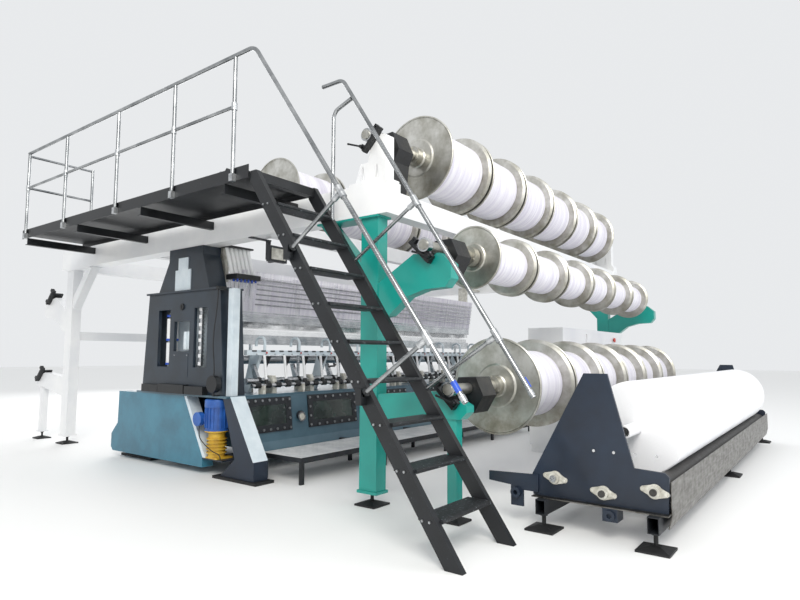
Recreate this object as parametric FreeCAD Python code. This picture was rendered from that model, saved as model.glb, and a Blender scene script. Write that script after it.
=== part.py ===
import FreeCAD, Part
import math
import os
from FreeCAD import Vector

# Warp knitting machine with its overhead warp beams, service catwalk and cloth winder.
# Millimetres. X runs along the working width, Y through the machine from front to back, Z up.
# Before export everything is moved so that the origin lies on the floor under the middle of the machine.

# ---- end frames -------------------------------------------------------------------------
POST_X = 140.0                 # post section along X
POST_Y = 200.0                 # post section along Y
FRONT_POST_Y = -50.0           # centre of the front posts
POST_SPACING = 6030.0          # front post to rear post
BEAM_Z = 2650.0                # underside of the cross beam
BEAM_BOX_H = 150.0             # each of the two stacked boxes of a cross beam
BEAM_W = 200.0
BEAM_OVERHANG = 230.0          # cross beam past the post centre
FOOT_H = 110.0                 # floor to the underside of a post
SEAT = 0.3                     # gap between a curved face and the part that it rests on
FIT = 0.05                     # radial running fit

REAR_POST_Y = FRONT_POST_Y + POST_SPACING
MIDDLE_Y = FRONT_POST_Y + POST_SPACING / 2
BEAM_TOP = BEAM_Z + 2 * BEAM_BOX_H

# ---- warp beams -------------------------------------------------------------------------
SPOOLS = 6
SPOOL_PITCH = 870.0
SPOOL_GAP = 50.0               # between two neighbouring flanges
SPOOL_START = 700.0            # near frame to the first flange
FLANGE_T = 26.0
HUB_T = 16.0                   # hub boss proud of the flange
BARREL_R = 110.0
SHAFT_R = 45.0
TOP_ROW_Z = 3420.0
TOP_ROW_Y = -40.0
INNER_ROW_Y = 2190.0
MID_ROW_Y = -700.0
MID_ROW_Z = 2300.0
LOW_ROW_Y = -945.0
LOW_ROW_Z = 1075.0
BIG_FLANGE_R = 448.0
SMALL_FLANGE_R = 310.0
TOP_YARN_R = 345.0
MID_YARN_R = 215.0
LOW_YARN_R = 330.0

SPOOL_W = SPOOL_PITCH - SPOOL_GAP
SPOOL_END = SPOOL_START + SPOOLS * SPOOL_PITCH - SPOOL_GAP
FRAME_PITCH = SPOOL_END + SPOOL_START

# ---- clamp bearings of the warp beams ---------------------------------------------------
RING_R = 62.0
RING_L = 60.0
CLAMP_T = 30.0                 # black clamp plates under each bearing
CLAMP_L = 280.0
CLAMP_OUT = 125.0              # outer end of a bearing to the frame's centre plane
TOP_SLANT = -45.0              # the top rows lie against clamps that lean to the front
LOW_SLANT = 45.0               # the lower rows lie against clamps that lean to the back
LEVER_R = 9.0
LEVER_L = 170.0
LEVER_PIN_R = 8.0

# ---- arms of the end frames -------------------------------------------------------------
ARM_T = 120.0
LEG_IN = 90.0                  # outrigger leg section
LEG_FROM_POST = 880.0          # outrigger leg to post centre

# ---- knitting bed -----------------------------------------------------------------------
BED_X0 = -150.0
BED_X1 = 6150.0
BED_Y = 2850.0                 # middle plane of the bed
BED_TOP = 890.0
BED_FOOT_HALF = 1420.0
FACE_Y = 1900.0                # front wall of the bed at its top
FACE_SLOPE = 60.0              # how far the wall runs forward on its way down
WALL_T = 60.0
WINDOWS = 5
WINDOW_PITCH = 1180.0
WINDOW_W = 900.0
WINDOW_H = 440.0
WINDOW_X0 = -140.0
FIRST_WINDOW_W = 680.0         # the first window is shorter, beside the leg
WINDOW_Z0 = 450.0
WINDOW_RIM = 85.0
WINDOW_T = 14.0
GLASS_T = 8.0
BOLT_R = 15.0
BOLT_H = 12.0
SIGHT_R = 55.0

COVER_Y0 = 2330.0              # lower front corner of the near end cover
COVER_BACK_Y = 4370.0
COVER_T = 150.0
LEG_X1 = 40.0                  # inner face of the near legs
LEG_HEAD_OUT = 62.0             # top of a leg in front of the bed's wall
FRONT_PLATE_T = 14.0
FOOT_BOX_H = 230.0
SOLE_T = 30.0
RECESS_X = 330.0               # end of the recess that holds the lubrication pump
BAND_Z = 350.0                 # fold line of the lower band on the bed's walls
DECK_PLATE_T = 25.0

# ---- lubrication pump -------------------------------------------------------------------
MOTOR_X = -62.0
MOTOR_Y = 2188.0
MOTOR_R = 142.0
TERMINAL_R = 78.0               # round terminal box
TERMINAL_Z = 622.0
MOTOR_H = 350.0
PUMP_Z = 190.0
PUMP_H = 310.0

# ---- knitting elements ------------------------------------------------------------------
ZONE_X0 = 230.0
ZONE_X1 = 5900.0
ROCKER_R = 38.0
ROCKER_Z = 1040.0
ROCKER_FROM_MIDDLE = 770.0
RAIL_Y = 2060.0
RAIL_Z = 1376.0
SWING_Y = 2560.0
SWING_Z = 2330.0
SWING_R = 40.0
SWING_X0 = 170.0
GUIDE_BARS = 4
GUIDE_Z = 1700.0
NEEDLE_Z = 1480.0
TAKE_Y = 2640.0
TAKE_Z = 1290.0
TAKE_R = 60.0
ACTUATORS = 6

# ---- tread plate step -------------------------------------------------------------------
STEP_X0 = 150.0
STEP_X1 = 5750.0
STEP_Y0 = 1040.0
STEP_Y1 = 1640.0
STEP_Z = 285.0

# ---- tower and housing ------------------------------------------------------------------
TOWER_X0 = -130.0
TOWER_DEPTH = 300.0
TOWER_FOOT_HALF = 835.0
TOWER_HEAD_HALF = 740.0
TOWER_TOP = 2100.0
TOWER_WALL = 40.0
SLOT_FROM_MIDDLE = 250.0
SLOT_W = 260.0
LINKS = 15
LINK_PITCH = 46.0
LOCK_R = 40.0
LOCK_Z = 1925.0
LAMP_R = 95.0
LAMP_CABLE_R = 6.0
MOTOR_CABLE_R = 5.0

# ---- catwalk and stairs -----------------------------------------------------------------
DECK_X0 = -1000.0
DECK_X1 = -205.0
DECK_Y0 = 560.0
DECK_Y1 = 5330.0
DECK_TOP = 2960.0
DECK_T = 6.0
DECK_FLANGE = 60.0
TOE_H = 120.0
CHANNEL_H = 90.0
CHANNEL_W = 60.0
CHANNELS = 4
RAIL_R = 19.0
RAIL_H = 1100.0
MID_RAIL_H = 620.0
RAIL_POST_Y = (755.0, 1715.0, 2820.0, 4070.0, 5180.0)
CLAMP_SLEEVE_R = 27.0
STAIR_X0 = -985.0              # outer faces of the two stringers
STAIR_X1 = -235.0
STRINGER_T = 50.0
STRINGER_D = 108.0
STAIR_FOOT_Y = -1530.0
STAIR_HEAD_Y = 540.0
TREADS = 9
TREAD_D = 200.0
TREAD_T = 30.0

RAIL_FOOT_Y = -1640.0
RAIL_FOOT_Z = 1065.0
STUB_Y = 250.0                 # post of the inner handrail, standing on its stringer
STUB_Z = 2560.0
STANDOFF_LOW = 0.36
STANDOFF_HIGH = 0.74

# ---- cloth winder -----------------------------------------------------------------------
WINDER_X0 = 170.0
WINDER_X1 = 6880.0
WINDER_PLATE_X = 290.0
WINDER_PLATE_T = 20.0
WINDER_PLATE_X1 = 6520.0
TUBE_W = 80.0
TUBE_H = 115.0
TUBE_WALL = 6.0
TUBE_Z = 125.0
TUBE_FRONT_Y = -2430.0
TUBE_BACK_Y = -1600.0
ROLLER_R = 75.0
ROLLER_Z = 395.0
ROLLER_FRONT_Y = -2420.0
ROLLER_BACK_Y = -2055.0
ROLLER_BACK_Z = 335.0
ROLLER_BACK_R = 80.0
ROLLER_AXLE_R = 25.0
GUIDE_ROLLER_R = 50.0
GUIDE_ROLLER_Y = -1680.0
GUIDE_ROLLER_Z = 400.0
CLOTH_R = 378.0
CLOTH_X0 = 750.0
CLOTH_X1 = 6150.0
CORE_R = 48.0

# ---- covers and drive at the far end ----------------------------------------------------
CABINET_X0 = 5520.0
CABINET_X1 = 6400.0
CABINET_Y0 = -420.0
CABINET_Y1 = 100.0
CABINET_H = 1750.0
CABINET_WALL = 20.0
LONG_CABINET_W = 1850.0
DOOR_T = 25.0
HINGE_R = 9.0
BUTTON_X = 5900.0
BUTTON_Z = 1620.0
BUTTON_STEM_R = 11.0
MAIN_MOTOR_Y = -800.0
MAIN_MOTOR_Z = 2030.0

# ---- touch panel under the cross beam ---------------------------------------------------
PANEL_Y = 1450.0
PANEL_Z = 2450.0

parts = {}


def box(x0, x1, y0, y1, z0, z1):
    return Part.makeBox(x1 - x0, y1 - y0, z1 - z0, Vector(x0, y0, z0))


def cyl_x(x0, x1, y, z, r):
    return Part.makeCylinder(r, x1 - x0, Vector(x0, y, z), Vector(1, 0, 0))


def cyl_y(y0, y1, x, z, r):
    return Part.makeCylinder(r, y1 - y0, Vector(x, y0, z), Vector(0, 1, 0))


def cyl_z(z0, z1, x, y, r):
    return Part.makeCylinder(r, z1 - z0, Vector(x, y, z0), Vector(0, 0, 1))


def rod(start, end, r):
    along = end - start
    return Part.makeCylinder(r, along.Length, start, along)


def face_from(points):
    return Part.Face(Part.makePolygon(points + [points[0]]))


def plate_x(outline, x0, x1):
    """Plate standing across X, from an outline of (y, z) points."""
    face = face_from([Vector(x0, y, z) for y, z in outline])
    return face.extrude(Vector(x1 - x0, 0, 0))


def plate_y(outline, y0, y1):
    """Plate standing across Y, from an outline of (x, z) points."""
    face = face_from([Vector(x, y0, z) for x, z in outline])
    return face.extrude(Vector(0, y1 - y0, 0))


def ring_x(x0, x1, y, z, r_out, r_in):
    return cyl_x(x0, x1, y, z, r_out).cut(cyl_x(x0 - 1, x1 + 1, y, z, r_in))


def turned_x(profile, y, z):
    """Body turned about an axis along X, from (x, radius) points."""
    face = face_from([Vector(x, y, z + r) for x, r in profile])
    return face.revolve(Vector(0, y, z), Vector(1, 0, 0), 360)


def bent_rod(points, radii, r):
    """Round bar along straight runs that are joined by tangent arcs."""
    edges = []
    last = points[0]
    for corner, bend, nxt in zip(points[1:-1], radii, points[2:]):
        back = (last - corner).normalize()
        ahead = (nxt - corner).normalize()
        half = back.getAngle(ahead) / 2
        reach = bend / math.tan(half)
        start = corner + back * reach
        end = corner + ahead * reach
        inward = (back + ahead).normalize()
        middle = corner + inward * (bend / math.sin(half) - bend)
        edges.append(Part.LineSegment(last, start).toShape())
        edges.append(Part.Arc(start, middle, end).toShape())
        last = end
    edges.append(Part.LineSegment(last, points[-1]).toShape())
    path = Part.Wire(edges)
    along = points[1] - points[0]
    section = Part.Wire(Part.makeCircle(r, points[0], along))
    return path.makePipeShell([section], True, False)


def bent_tube(points, bend, r):
    """Handrail in three solids: a straight run, one welded bend and a second straight run."""
    first, corner, last = points
    back = (first - corner).normalize()
    ahead = (last - corner).normalize()
    reach = bend / math.tan(back.getAngle(ahead) / 2)
    start = corner + back * reach
    end = corner + ahead * reach
    inward = (back + ahead).normalize()
    middle = corner + inward * (bend / math.sin(back.getAngle(ahead) / 2) - bend)
    arc = Part.Wire([Part.Arc(start, middle, end).toShape()])
    section = Part.Wire(Part.makeCircle(r, start, back * -1))
    return [rod(first, start, r), arc.makePipeShell([section], True, False), rod(end, last, r)]


def mirror_rear(shape):
    """Copy on the other side of the machine's middle plane, from front to back."""
    return shape.mirror(Vector(0, MIDDLE_Y, 0), Vector(0, 1, 0))


def move_x(shape, dx):
    copy = shape.copy()
    copy.translate(Vector(dx, 0, 0))
    return copy


def save(name, solids):
    """Adds solids to a node; pieces of one kind share a node."""
    parts.setdefault(name, []).extend(solids)


# ---- end frames -------------------------------------------------------------------------
def post_solids(y, sign):
    """One post with its foot flange, cap plate and knee brace; sign points away from the machine."""
    half_x = POST_X / 2
    top = BEAM_Z - 20
    post = box(-half_x, half_x, y - POST_Y / 2, y + POST_Y / 2, FOOT_H + 25, top)
    flange = box(-half_x - 15, half_x + 15, y - POST_Y / 2 - 15, y + POST_Y / 2 + 15, FOOT_H, FOOT_H + 25)
    inner = y - sign * POST_Y / 2
    cap_y = sorted([y + sign * (POST_Y / 2 + 20), inner - sign * 560])
    cap = box(-BEAM_W / 2, BEAM_W / 2, cap_y[0], cap_y[1], top, BEAM_Z)
    brace_line = [(inner, 2030), (inner, 2210), (inner - sign * 390, top), (inner - sign * 540, top)]
    brace = plate_x(brace_line, -ARM_T / 2, ARM_T / 2)
    return [post, flange, cap, brace]


def seat_space(y, z, slant):
    """Room above the slanting seat of a clamp, cut out of the arm that carries it."""
    half = 0.4 * CLAMP_L
    under = z - RING_R - SEAT - CLAMP_T
    room = box(-ARM_T, ARM_T, y - half, y + half, under, z + 2 * RING_R)
    room.rotate(Vector(0, y, z), Vector(1, 0, 0), slant)
    return room


def mid_arm(post_y, sign):
    """Arm of the middle row: rises outwards from the post and ends in a rounded nose."""
    face_y = post_y + sign * POST_Y / 2
    axis_y = post_y + sign * abs(MID_ROW_Y - FRONT_POST_Y)
    nose = axis_y + sign * 235
    seat = MID_ROW_Z - RING_R - CLAMP_T - 40
    outline = [(face_y, 1690), (face_y + sign * 120, 1710), (face_y + sign * 330, 1870),
               (axis_y - sign * 40, 1920), (nose - sign * 60, 1930), (nose, 2000), (nose, 2130),
               (axis_y + sign * 120, seat + 60), (axis_y - sign * 60, seat + 60),
               (axis_y - sign * 150, seat + 75), (face_y, 2010)]
    arm = plate_x(outline, -ARM_T / 2, ARM_T / 2)
    return arm.cut(seat_space(axis_y, MID_ROW_Z, -sign * LOW_SLANT))


def low_arm(post_y, sign):
    """Arm of the bottom row, on an outrigger leg of its own."""
    face_y = post_y + sign * POST_Y / 2
    axis_y = post_y + sign * abs(LOW_ROW_Y - FRONT_POST_Y)
    nose = axis_y + sign * 135
    leg_y = post_y + sign * LEG_FROM_POST
    leg_in = leg_y - sign * LEG_IN / 2
    seat = LOW_ROW_Z - RING_R - CLAMP_T
    outline = [(face_y, 700), (face_y + sign * 60, 720), (leg_in, 830), (nose - sign * 60, 830),
               (nose, 890), (nose, seat - 40), (axis_y + sign * 60, seat), (axis_y - sign * 60, seat + 45),
               (axis_y - sign * 160, seat + 70), (face_y, seat + 20)]
    arm = plate_x(outline, -ARM_T / 2, ARM_T / 2)
    arm = arm.cut(seat_space(axis_y, LOW_ROW_Z, -sign * LOW_SLANT))
    y0 = leg_y - LEG_IN / 2
    leg = box(-LEG_IN / 2, LEG_IN / 2, y0, y0 + LEG_IN, FOOT_H + 15, 830)
    flange = box(-LEG_IN / 2 - 20, LEG_IN / 2 + 20, y0 - 20, y0 + LEG_IN + 20, FOOT_H, FOOT_H + 15)
    return [arm, leg, flange]


def end_frames():
    front = post_solids(FRONT_POST_Y, -1) + [mid_arm(FRONT_POST_Y, -1)] + low_arm(FRONT_POST_Y, -1)
    rear = [mirror_rear(solid) for solid in front]
    save("front_frames", front + [move_x(solid, FRAME_PITCH) for solid in front])
    save("rear_frames", rear + [move_x(solid, FRAME_PITCH) for solid in rear])


def top_beams():
    """Two cross beams of stacked boxes and two long box beams between them."""
    y0 = FRONT_POST_Y - BEAM_OVERHANG
    y1 = REAR_POST_Y + BEAM_OVERHANG
    solids = []
    for x in (0, FRAME_PITCH):
        for level in range(2):
            z = BEAM_Z + level * BEAM_BOX_H
            solids.append(box(x - BEAM_W / 2, x + BEAM_W / 2, y0, y1, z, z + BEAM_BOX_H))
    long_w = 160
    for y in (y0 + 5, y1 - 5 - long_w):
        solids.append(box(BEAM_W / 2, FRAME_PITCH - BEAM_W / 2, y, y + long_w, BEAM_Z, BEAM_TOP - 80))
    tie_z = 1560
    for y in (REAR_POST_Y - 60,):
        solids.append(box(POST_X / 2, FRAME_PITCH - POST_X / 2, y, y + 80, tie_z, tie_z + 130))
    for y in (1500, 3900):
        solids.append(box(BEAM_W / 2, FRAME_PITCH - BEAM_W / 2, y, y + 120, BEAM_Z + 20, BEAM_TOP - 90))
    save("top_beams", solids)


def row_stand(y):
    """Tapered stand of a top row on the cross beam; its head is cut on the slant for the clamp."""
    foot = BEAM_TOP + 30
    drop = RING_R + SEAT + CLAMP_T
    slant = math.radians(abs(TOP_SLANT))
    seat_y = y - drop * math.sin(slant)
    seat_z = TOP_ROW_Z - drop * math.cos(slant)
    run = 0.34 * CLAMP_L
    head_front = (seat_y - run * math.cos(slant), seat_z + run * math.sin(slant))
    head_back = (seat_y + run * math.cos(slant), seat_z - run * math.sin(slant))
    outline = [(y - 190, foot), (y + 185, foot), (y + 120, foot + 190), (head_back[0] + 25, foot + 190),
               head_back, head_front, (y - 190, head_front[1] - 20)]
    stand = plate_x(outline, -ARM_T / 2, ARM_T / 2)
    for start, end in ((y - 110, y - 60), (y + 60, y + 115)):
        recess = [(start, foot + 30), (end, foot + 30), (end - 20, foot + 160), (start + 25, foot + 160)]
        stand = stand.cut(plate_x(recess, -ARM_T / 2, -ARM_T / 2 + 25))
    base = box(-BEAM_W / 2, BEAM_W / 2, y - 225, y + 225, BEAM_TOP, foot)
    return [stand, base]


def beam_stands():
    near = row_stand(TOP_ROW_Y) + row_stand(INNER_ROW_Y)
    save("top_beams", near + [move_x(solid, FRAME_PITCH) for solid in near])


# ---- floor pads -------------------------------------------------------------------------
def pad(x, y, size, stem_top, stem_r):
    """Black levelling foot: a square plate with slanting shoulders, a stem and a lock nut."""
    plate = box(x - size / 2, x + size / 2, y - size / 2, y + size / 2, 0, 16)
    low = Part.makePolygon([Vector(x - size / 2, y - size / 2, 16), Vector(x + size / 2, y - size / 2, 16),
                            Vector(x + size / 2, y + size / 2, 16), Vector(x - size / 2, y + size / 2, 16),
                            Vector(x - size / 2, y - size / 2, 16)])
    head = size * 0.3
    high = Part.makePolygon([Vector(x - head / 2, y - head / 2, 40), Vector(x + head / 2, y - head / 2, 40),
                             Vector(x + head / 2, y + head / 2, 40), Vector(x - head / 2, y + head / 2, 40),
                             Vector(x - head / 2, y - head / 2, 40)])
    shoulder = Part.makeLoft([low, high], True, True)
    stem = cyl_z(40, stem_top, x, y, stem_r)
    nut = cyl_z(stem_top - 16, stem_top, x, y, stem_r * 1.8)
    return [plate.fuse(shoulder).fuse(stem).fuse(nut)]


def floor_pads():
    leg_y = FRONT_POST_Y - LEG_FROM_POST
    solids = []
    for x in (0, FRAME_PITCH):
        for y in (FRONT_POST_Y, REAR_POST_Y):
            solids += pad(x, y, 230, FOOT_H, 16)
        for y in (leg_y, 2 * MIDDLE_Y - leg_y):
            solids += pad(x, y, 200, FOOT_H, 14)
    for x in (WINDER_X0 + 70, WINDER_X1 - 70, (WINDER_X0 + WINDER_X1) / 2):
        for y in (TUBE_FRONT_Y, TUBE_BACK_Y):
            solids += pad(x, y, 230, TUBE_Z, 16)
    save("floor_pads", solids)


# ---- clamp bearings ---------------------------------------------------------------------
def clamp_at(y, z, side, slant):
    """Split black clamp plate behind a bearing, lying on the slant, with a stop block at each end."""
    x0, x1 = sorted([side * CLAMP_OUT, side * (CLAMP_OUT - RING_L)])
    under = z - RING_R - SEAT
    plate = box(x0, x1, y - CLAMP_L / 2, y + CLAMP_L / 2, under - CLAMP_T, under)
    web_x = sorted([side * (CLAMP_OUT - RING_L), -side * ARM_T / 2])
    web = box(web_x[0], web_x[1], y - 0.34 * CLAMP_L, y + 0.34 * CLAMP_L, under - CLAMP_T, under - 6)
    solids = [plate, web]
    for end in (-1, 1):
        y_end = y + end * (CLAMP_L / 2 - 26)
        stop = box(x0 + 6, x1 - 6, y_end - 22, y_end + 22, under, under + 46)
        solids.append(stop.cut(cyl_x(x0, x1, y_end, under + 23, LEVER_PIN_R + FIT)))
    for solid in solids:
        solid.rotate(Vector(0, y, z), Vector(1, 0, 0), slant)
    return solids


def bearing_at(y, z, side):
    x0, x1 = sorted([side * CLAMP_OUT, side * (CLAMP_OUT - RING_L)])
    return ring_x(x0, x1, y, z, RING_R, SHAFT_R + FIT)


def mirrored_y(y):
    return 2 * MIDDLE_Y - y


def clamps_and_bearings():
    """Bearings at both ends of the four rows; the rear arms carry clamps but no warp beams."""
    plates = []
    rings = []
    rows = [(TOP_ROW_Y, TOP_ROW_Z, TOP_SLANT), (INNER_ROW_Y, TOP_ROW_Z, TOP_SLANT),
            (MID_ROW_Y, MID_ROW_Z, LOW_SLANT), (LOW_ROW_Y, LOW_ROW_Z, LOW_SLANT)]
    for y, z, slant in rows:
        for x, side in ((0, -1), (FRAME_PITCH, 1)):
            plates += [move_x(solid, x) for solid in clamp_at(y, z, side, slant)]
            rings.append(move_x(bearing_at(y, z, side), x))
    for y, z in ((MID_ROW_Y, MID_ROW_Z), (LOW_ROW_Y, LOW_ROW_Z)):
        for x, side in ((0, -1), (FRAME_PITCH, 1)):
            plates += [move_x(solid, x) for solid in clamp_at(mirrored_y(y), z, side, -LOW_SLANT)]
    save("clamp_plates", plates)
    save("bearing_rings", rings)


def lever_pivot(y, z, slant):
    """Middle of the lever's pin, in the stop block at the lower end of a clamp plate."""
    side = 1 if slant < 0 else -1
    point = Vector(0, y + side * (CLAMP_L / 2 - 26), z - RING_R - SEAT + 23)
    matrix = FreeCAD.Rotation(Vector(1, 0, 0), slant)
    return matrix.multVec(point - Vector(0, y, z)) + Vector(0, y, z)


def lever(name, y, z, slant):
    """Hand lever that locks a near clamp: pin through the stop block, eye, arm and ball grip."""
    pivot = lever_pivot(y, z, slant)
    plate_x0 = -CLAMP_OUT
    eye = cyl_x(plate_x0 - 24, plate_x0 - SEAT, pivot.y, pivot.z, LEVER_PIN_R * 2)
    pin = cyl_x(plate_x0 - SEAT, plate_x0 + RING_L - 10, pivot.y, pivot.z, LEVER_PIN_R)
    out = Vector(0, 1, 0.36).normalize()
    start = Vector(plate_x0 - 12, pivot.y, pivot.z)
    arm = rod(start, start + out * LEVER_L, LEVER_R)
    grip = Part.makeSphere(LEVER_R * 1.2, start + out * LEVER_L)
    save(name, [eye.fuse([arm, grip, pin])])


# ---- warp beams -------------------------------------------------------------------------
def spool(x, y, z, flange_r):
    """One sectional beam: two dished flanges with rolled rims and stepped hubs, and the barrel between them."""
    bead = 9.0
    end = x + SPOOL_W
    rim = FLANGE_T * 0.55
    left = [(x - HUB_T, SHAFT_R + FIT), (x - HUB_T, 0.2 * flange_r), (x, 0.24 * flange_r),
            (x, 0.42 * flange_r), (x + 8, 0.46 * flange_r), (x + 8, flange_r - 22), (x, flange_r - 14),
            (x, flange_r - bead), (x + bead / 2, flange_r), (x + rim, flange_r),
            (x + FLANGE_T, flange_r - 30), (x + FLANGE_T, SHAFT_R + FIT)]
    right = [(end - (px - x), r) for px, r in reversed(left)]
    barrel = ring_x(x + FLANGE_T, end - FLANGE_T, y, z, BARREL_R, SHAFT_R + FIT)
    return [turned_x(left, y, z), barrel, turned_x(right, y, z)]


def yarn(x, y, z, yarn_r):
    """Wound yarn between the flanges, a touch barrelled at its ends."""
    x0 = x + FLANGE_T + SEAT
    x1 = x + SPOOL_W - FLANGE_T - SEAT
    profile = [(x0, BARREL_R + SEAT), (x0, yarn_r - 4), (x0 + 12, yarn_r), (x1 - 12, yarn_r),
               (x1, yarn_r - 4), (x1, BARREL_R + SEAT)]
    return turned_x(profile, y, z)


def beam_row(name, y, z, flange_r, yarn_r):
    """A row of spools that turn together on one shaft, with its drive collar at the near end."""
    starts = [SPOOL_START + i * SPOOL_PITCH for i in range(SPOOLS)]
    shaft = cyl_x(-CLAMP_OUT - 12, FRAME_PITCH + CLAMP_OUT + 12, y, z, SHAFT_R)
    near_end = SPOOL_START - HUB_T
    collars = [ring_x(near_end - 90, near_end - 2, y, z, 98, SHAFT_R + FIT),
               ring_x(near_end - 180, near_end - 92, y, z, 62, SHAFT_R + FIT)]
    far_end = SPOOL_END + HUB_T
    collars.append(ring_x(far_end + 2, far_end + 90, y, z, 95, SHAFT_R + FIT))
    dogs = []
    for k in range(3):
        turn = math.radians(90 + 120 * k)
        dogs.append(cyl_x(near_end - 88, near_end - 40, y + 80 * math.cos(turn), z + 80 * math.sin(turn), 14))
    hub = collars[0]
    for dog in dogs:
        hub = hub.fuse(move_x(dog, -12))
    solids = [shaft, hub] + collars[1:]
    for x in starts:
        solids += spool(x, y, z, flange_r)
    save(name + "_spools", solids)
    save(name + "_yarn", [yarn(x, y, z, yarn_r) for x in starts])


def letoff_drives():
    """Geared let-off drive beside the first spool of each row, and the main motor at the far end."""
    solids = []
    x0 = 190.0
    x1 = 430.0
    for y, z in ((TOP_ROW_Y, TOP_ROW_Z), (INNER_ROW_Y, TOP_ROW_Z)):
        outline = [(y - 150, z - 70), (y - 95, z - 190), (y - 60, BEAM_TOP - 40), (y + 60, BEAM_TOP - 40),
                   (y + 110, z - 190), (y + 130, z - 10), (y + 85, z + 100), (y - 70, z + 110)]
        case = plate_x(outline, x0, x1).cut(cyl_x(x0 - 1, x1 + 1, y, z, SHAFT_R + 1))
        solids.append(case)
    for y, z in ((MID_ROW_Y, MID_ROW_Z), (LOW_ROW_Y, LOW_ROW_Z)):
        outline = [(y - 150, z - 60), (y - 60, z - 210), (y + 90, z - 200), (y + 150, z - 60),
                   (y + 95, z + 90), (y - 80, z + 95)]
        case = plate_x(outline, x0, x1).cut(cyl_x(x0 - 1, x1 + 1, y, z, SHAFT_R + 1))
        solids.append(case)
    return solids


def far_drive():
    """Row motor on a bracket outside the far middle arm."""
    x = FRAME_PITCH + ARM_T / 2
    bracket = box(x, x + 16, MAIN_MOTOR_Y - 90, MAIN_MOTOR_Y + 90, MAIN_MOTOR_Z - 80, MAIN_MOTOR_Z + 80)
    body = cyl_x(x + 16, x + 250, MAIN_MOTOR_Y, MAIN_MOTOR_Z, 62)
    cowl = cyl_x(x + 250, x + 310, MAIN_MOTOR_Y, MAIN_MOTOR_Z, 56)
    return [bracket, body, cowl]


# ---- knitting bed -----------------------------------------------------------------------
def across_bed(shape):
    """Copy on the other side of the bed's own middle plane."""
    return shape.mirror(Vector(0, BED_Y, 0), Vector(0, 1, 0))


def bed_base():
    """Front and rear walls with a folded lower band, the core between them and the deck plate."""
    run = FACE_SLOPE
    wall_line = [(FACE_Y, BED_TOP - DECK_PLATE_T), (FACE_Y - run, BAND_Z), (FACE_Y - run - 45, BAND_Z - 90),
                 (FACE_Y - run - 45, BAND_Z - 110), (FACE_Y - run + WALL_T, BAND_Z - 110),
                 (FACE_Y - run + WALL_T, BAND_Z), (FACE_Y + WALL_T, BED_TOP - DECK_PLATE_T)]
    front_wall = plate_x(wall_line, LEG_X1, BED_X1)
    rear_wall = across_bed(plate_x(wall_line, LEG_X1 + COVER_T + 10, BED_X1))
    core_y0 = FACE_Y + WALL_T
    core_y1 = 2 * BED_Y - core_y0
    core = box(RECESS_X, BED_X1, core_y0, core_y1, BAND_Z - 110, BED_TOP - DECK_PLATE_T)
    deck = box(BED_X0, BED_X1, FACE_Y + 20, 2 * BED_Y - FACE_Y - 20, BED_TOP - DECK_PLATE_T, BED_TOP)
    save("bed_base", [front_wall, rear_wall, core, deck])


def end_cover():
    """Sheet cover over the near end of the bed, cut away on the slant in front of the lubrication pump."""
    back = COVER_BACK_Y
    top = BED_TOP - DECK_PLATE_T
    outline = [(COVER_Y0, 80), (back - 45, 80), (back, 130), (back, 300), (back - 150, 450),
               (back - 160, top), (COVER_Y0 + 400, top), (COVER_Y0, 190)]
    cover = plate_x(outline, BED_X0, BED_X0 + COVER_T)
    edge = [(COVER_Y0 + 400, top), (COVER_Y0, 190), (COVER_Y0 - 55, 190), (COVER_Y0 + 345, top)]
    return cover, plate_x(edge, BED_X0 + 5, BED_X0 + COVER_T)


def bed_leg(x0, x1):
    """Splayed leg: pale plate down its sloping front, web behind it and a foot box on a black sole plate."""
    under_deck = BED_TOP - DECK_PLATE_T
    foot_y = BED_Y - BED_FOOT_HALF
    head_y = FACE_Y - LEG_HEAD_OUT
    run = (head_y - foot_y) / (BED_TOP - FOOT_BOX_H) * DECK_PLATE_T
    front = [(head_y, BED_TOP), (head_y + FRONT_PLATE_T, BED_TOP), (foot_y + FRONT_PLATE_T, FOOT_BOX_H),
             (foot_y, FOOT_BOX_H)]
    web_line = [(head_y + FRONT_PLATE_T - run, under_deck), (FACE_Y + 75, under_deck),
                (foot_y + 320, FOOT_BOX_H), (foot_y + FRONT_PLATE_T, FOOT_BOX_H)]
    foot_line = [(foot_y, FOOT_BOX_H), (foot_y + 320, FOOT_BOX_H), (foot_y + 560, SOLE_T), (foot_y, SOLE_T)]
    sole = box(x0 - 30, x1 + 30, foot_y - 70, foot_y + 660, 0, SOLE_T)
    return plate_x(front, x0, x1), plate_x(web_line, x0, x1), plate_x(foot_line, x0, x1), sole


def bed_legs():
    pale = []
    dark = []
    soles = []
    for x0, x1 in ((BED_X0, LEG_X1), (BED_X1, BED_X1 + LEG_X1 - BED_X0)):
        face_bar, web, foot_box, sole = bed_leg(x0, x1)
        for mirrored in (False, True):
            group = [face_bar, web, foot_box, sole]
            if mirrored:
                group = [across_bed(solid) for solid in group]
            if mirrored and x0 == BED_X0:
                group = [move_x(solid, COVER_T + 10) for solid in group]
            pale.append(group[0])
            dark += group[1:3]
            soles.append(group[3])
    for x in (BED_X1 * 0.35, BED_X1 * 0.7):
        for y in (BED_Y - 800, BED_Y + 500):
            dark.append(box(x, x + 300, y, y + 300, SOLE_T, BAND_Z - 110))
            soles.append(box(x - 40, x + 340, y - 40, y + 340, 0, SOLE_T))
    cover, edge = end_cover()
    save("bed_end_cover", [cover])
    save("pale_covers", pale + [edge])
    save("bed_legs", dark + pump_shelf())
    save("floor_pads", soles)


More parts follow.
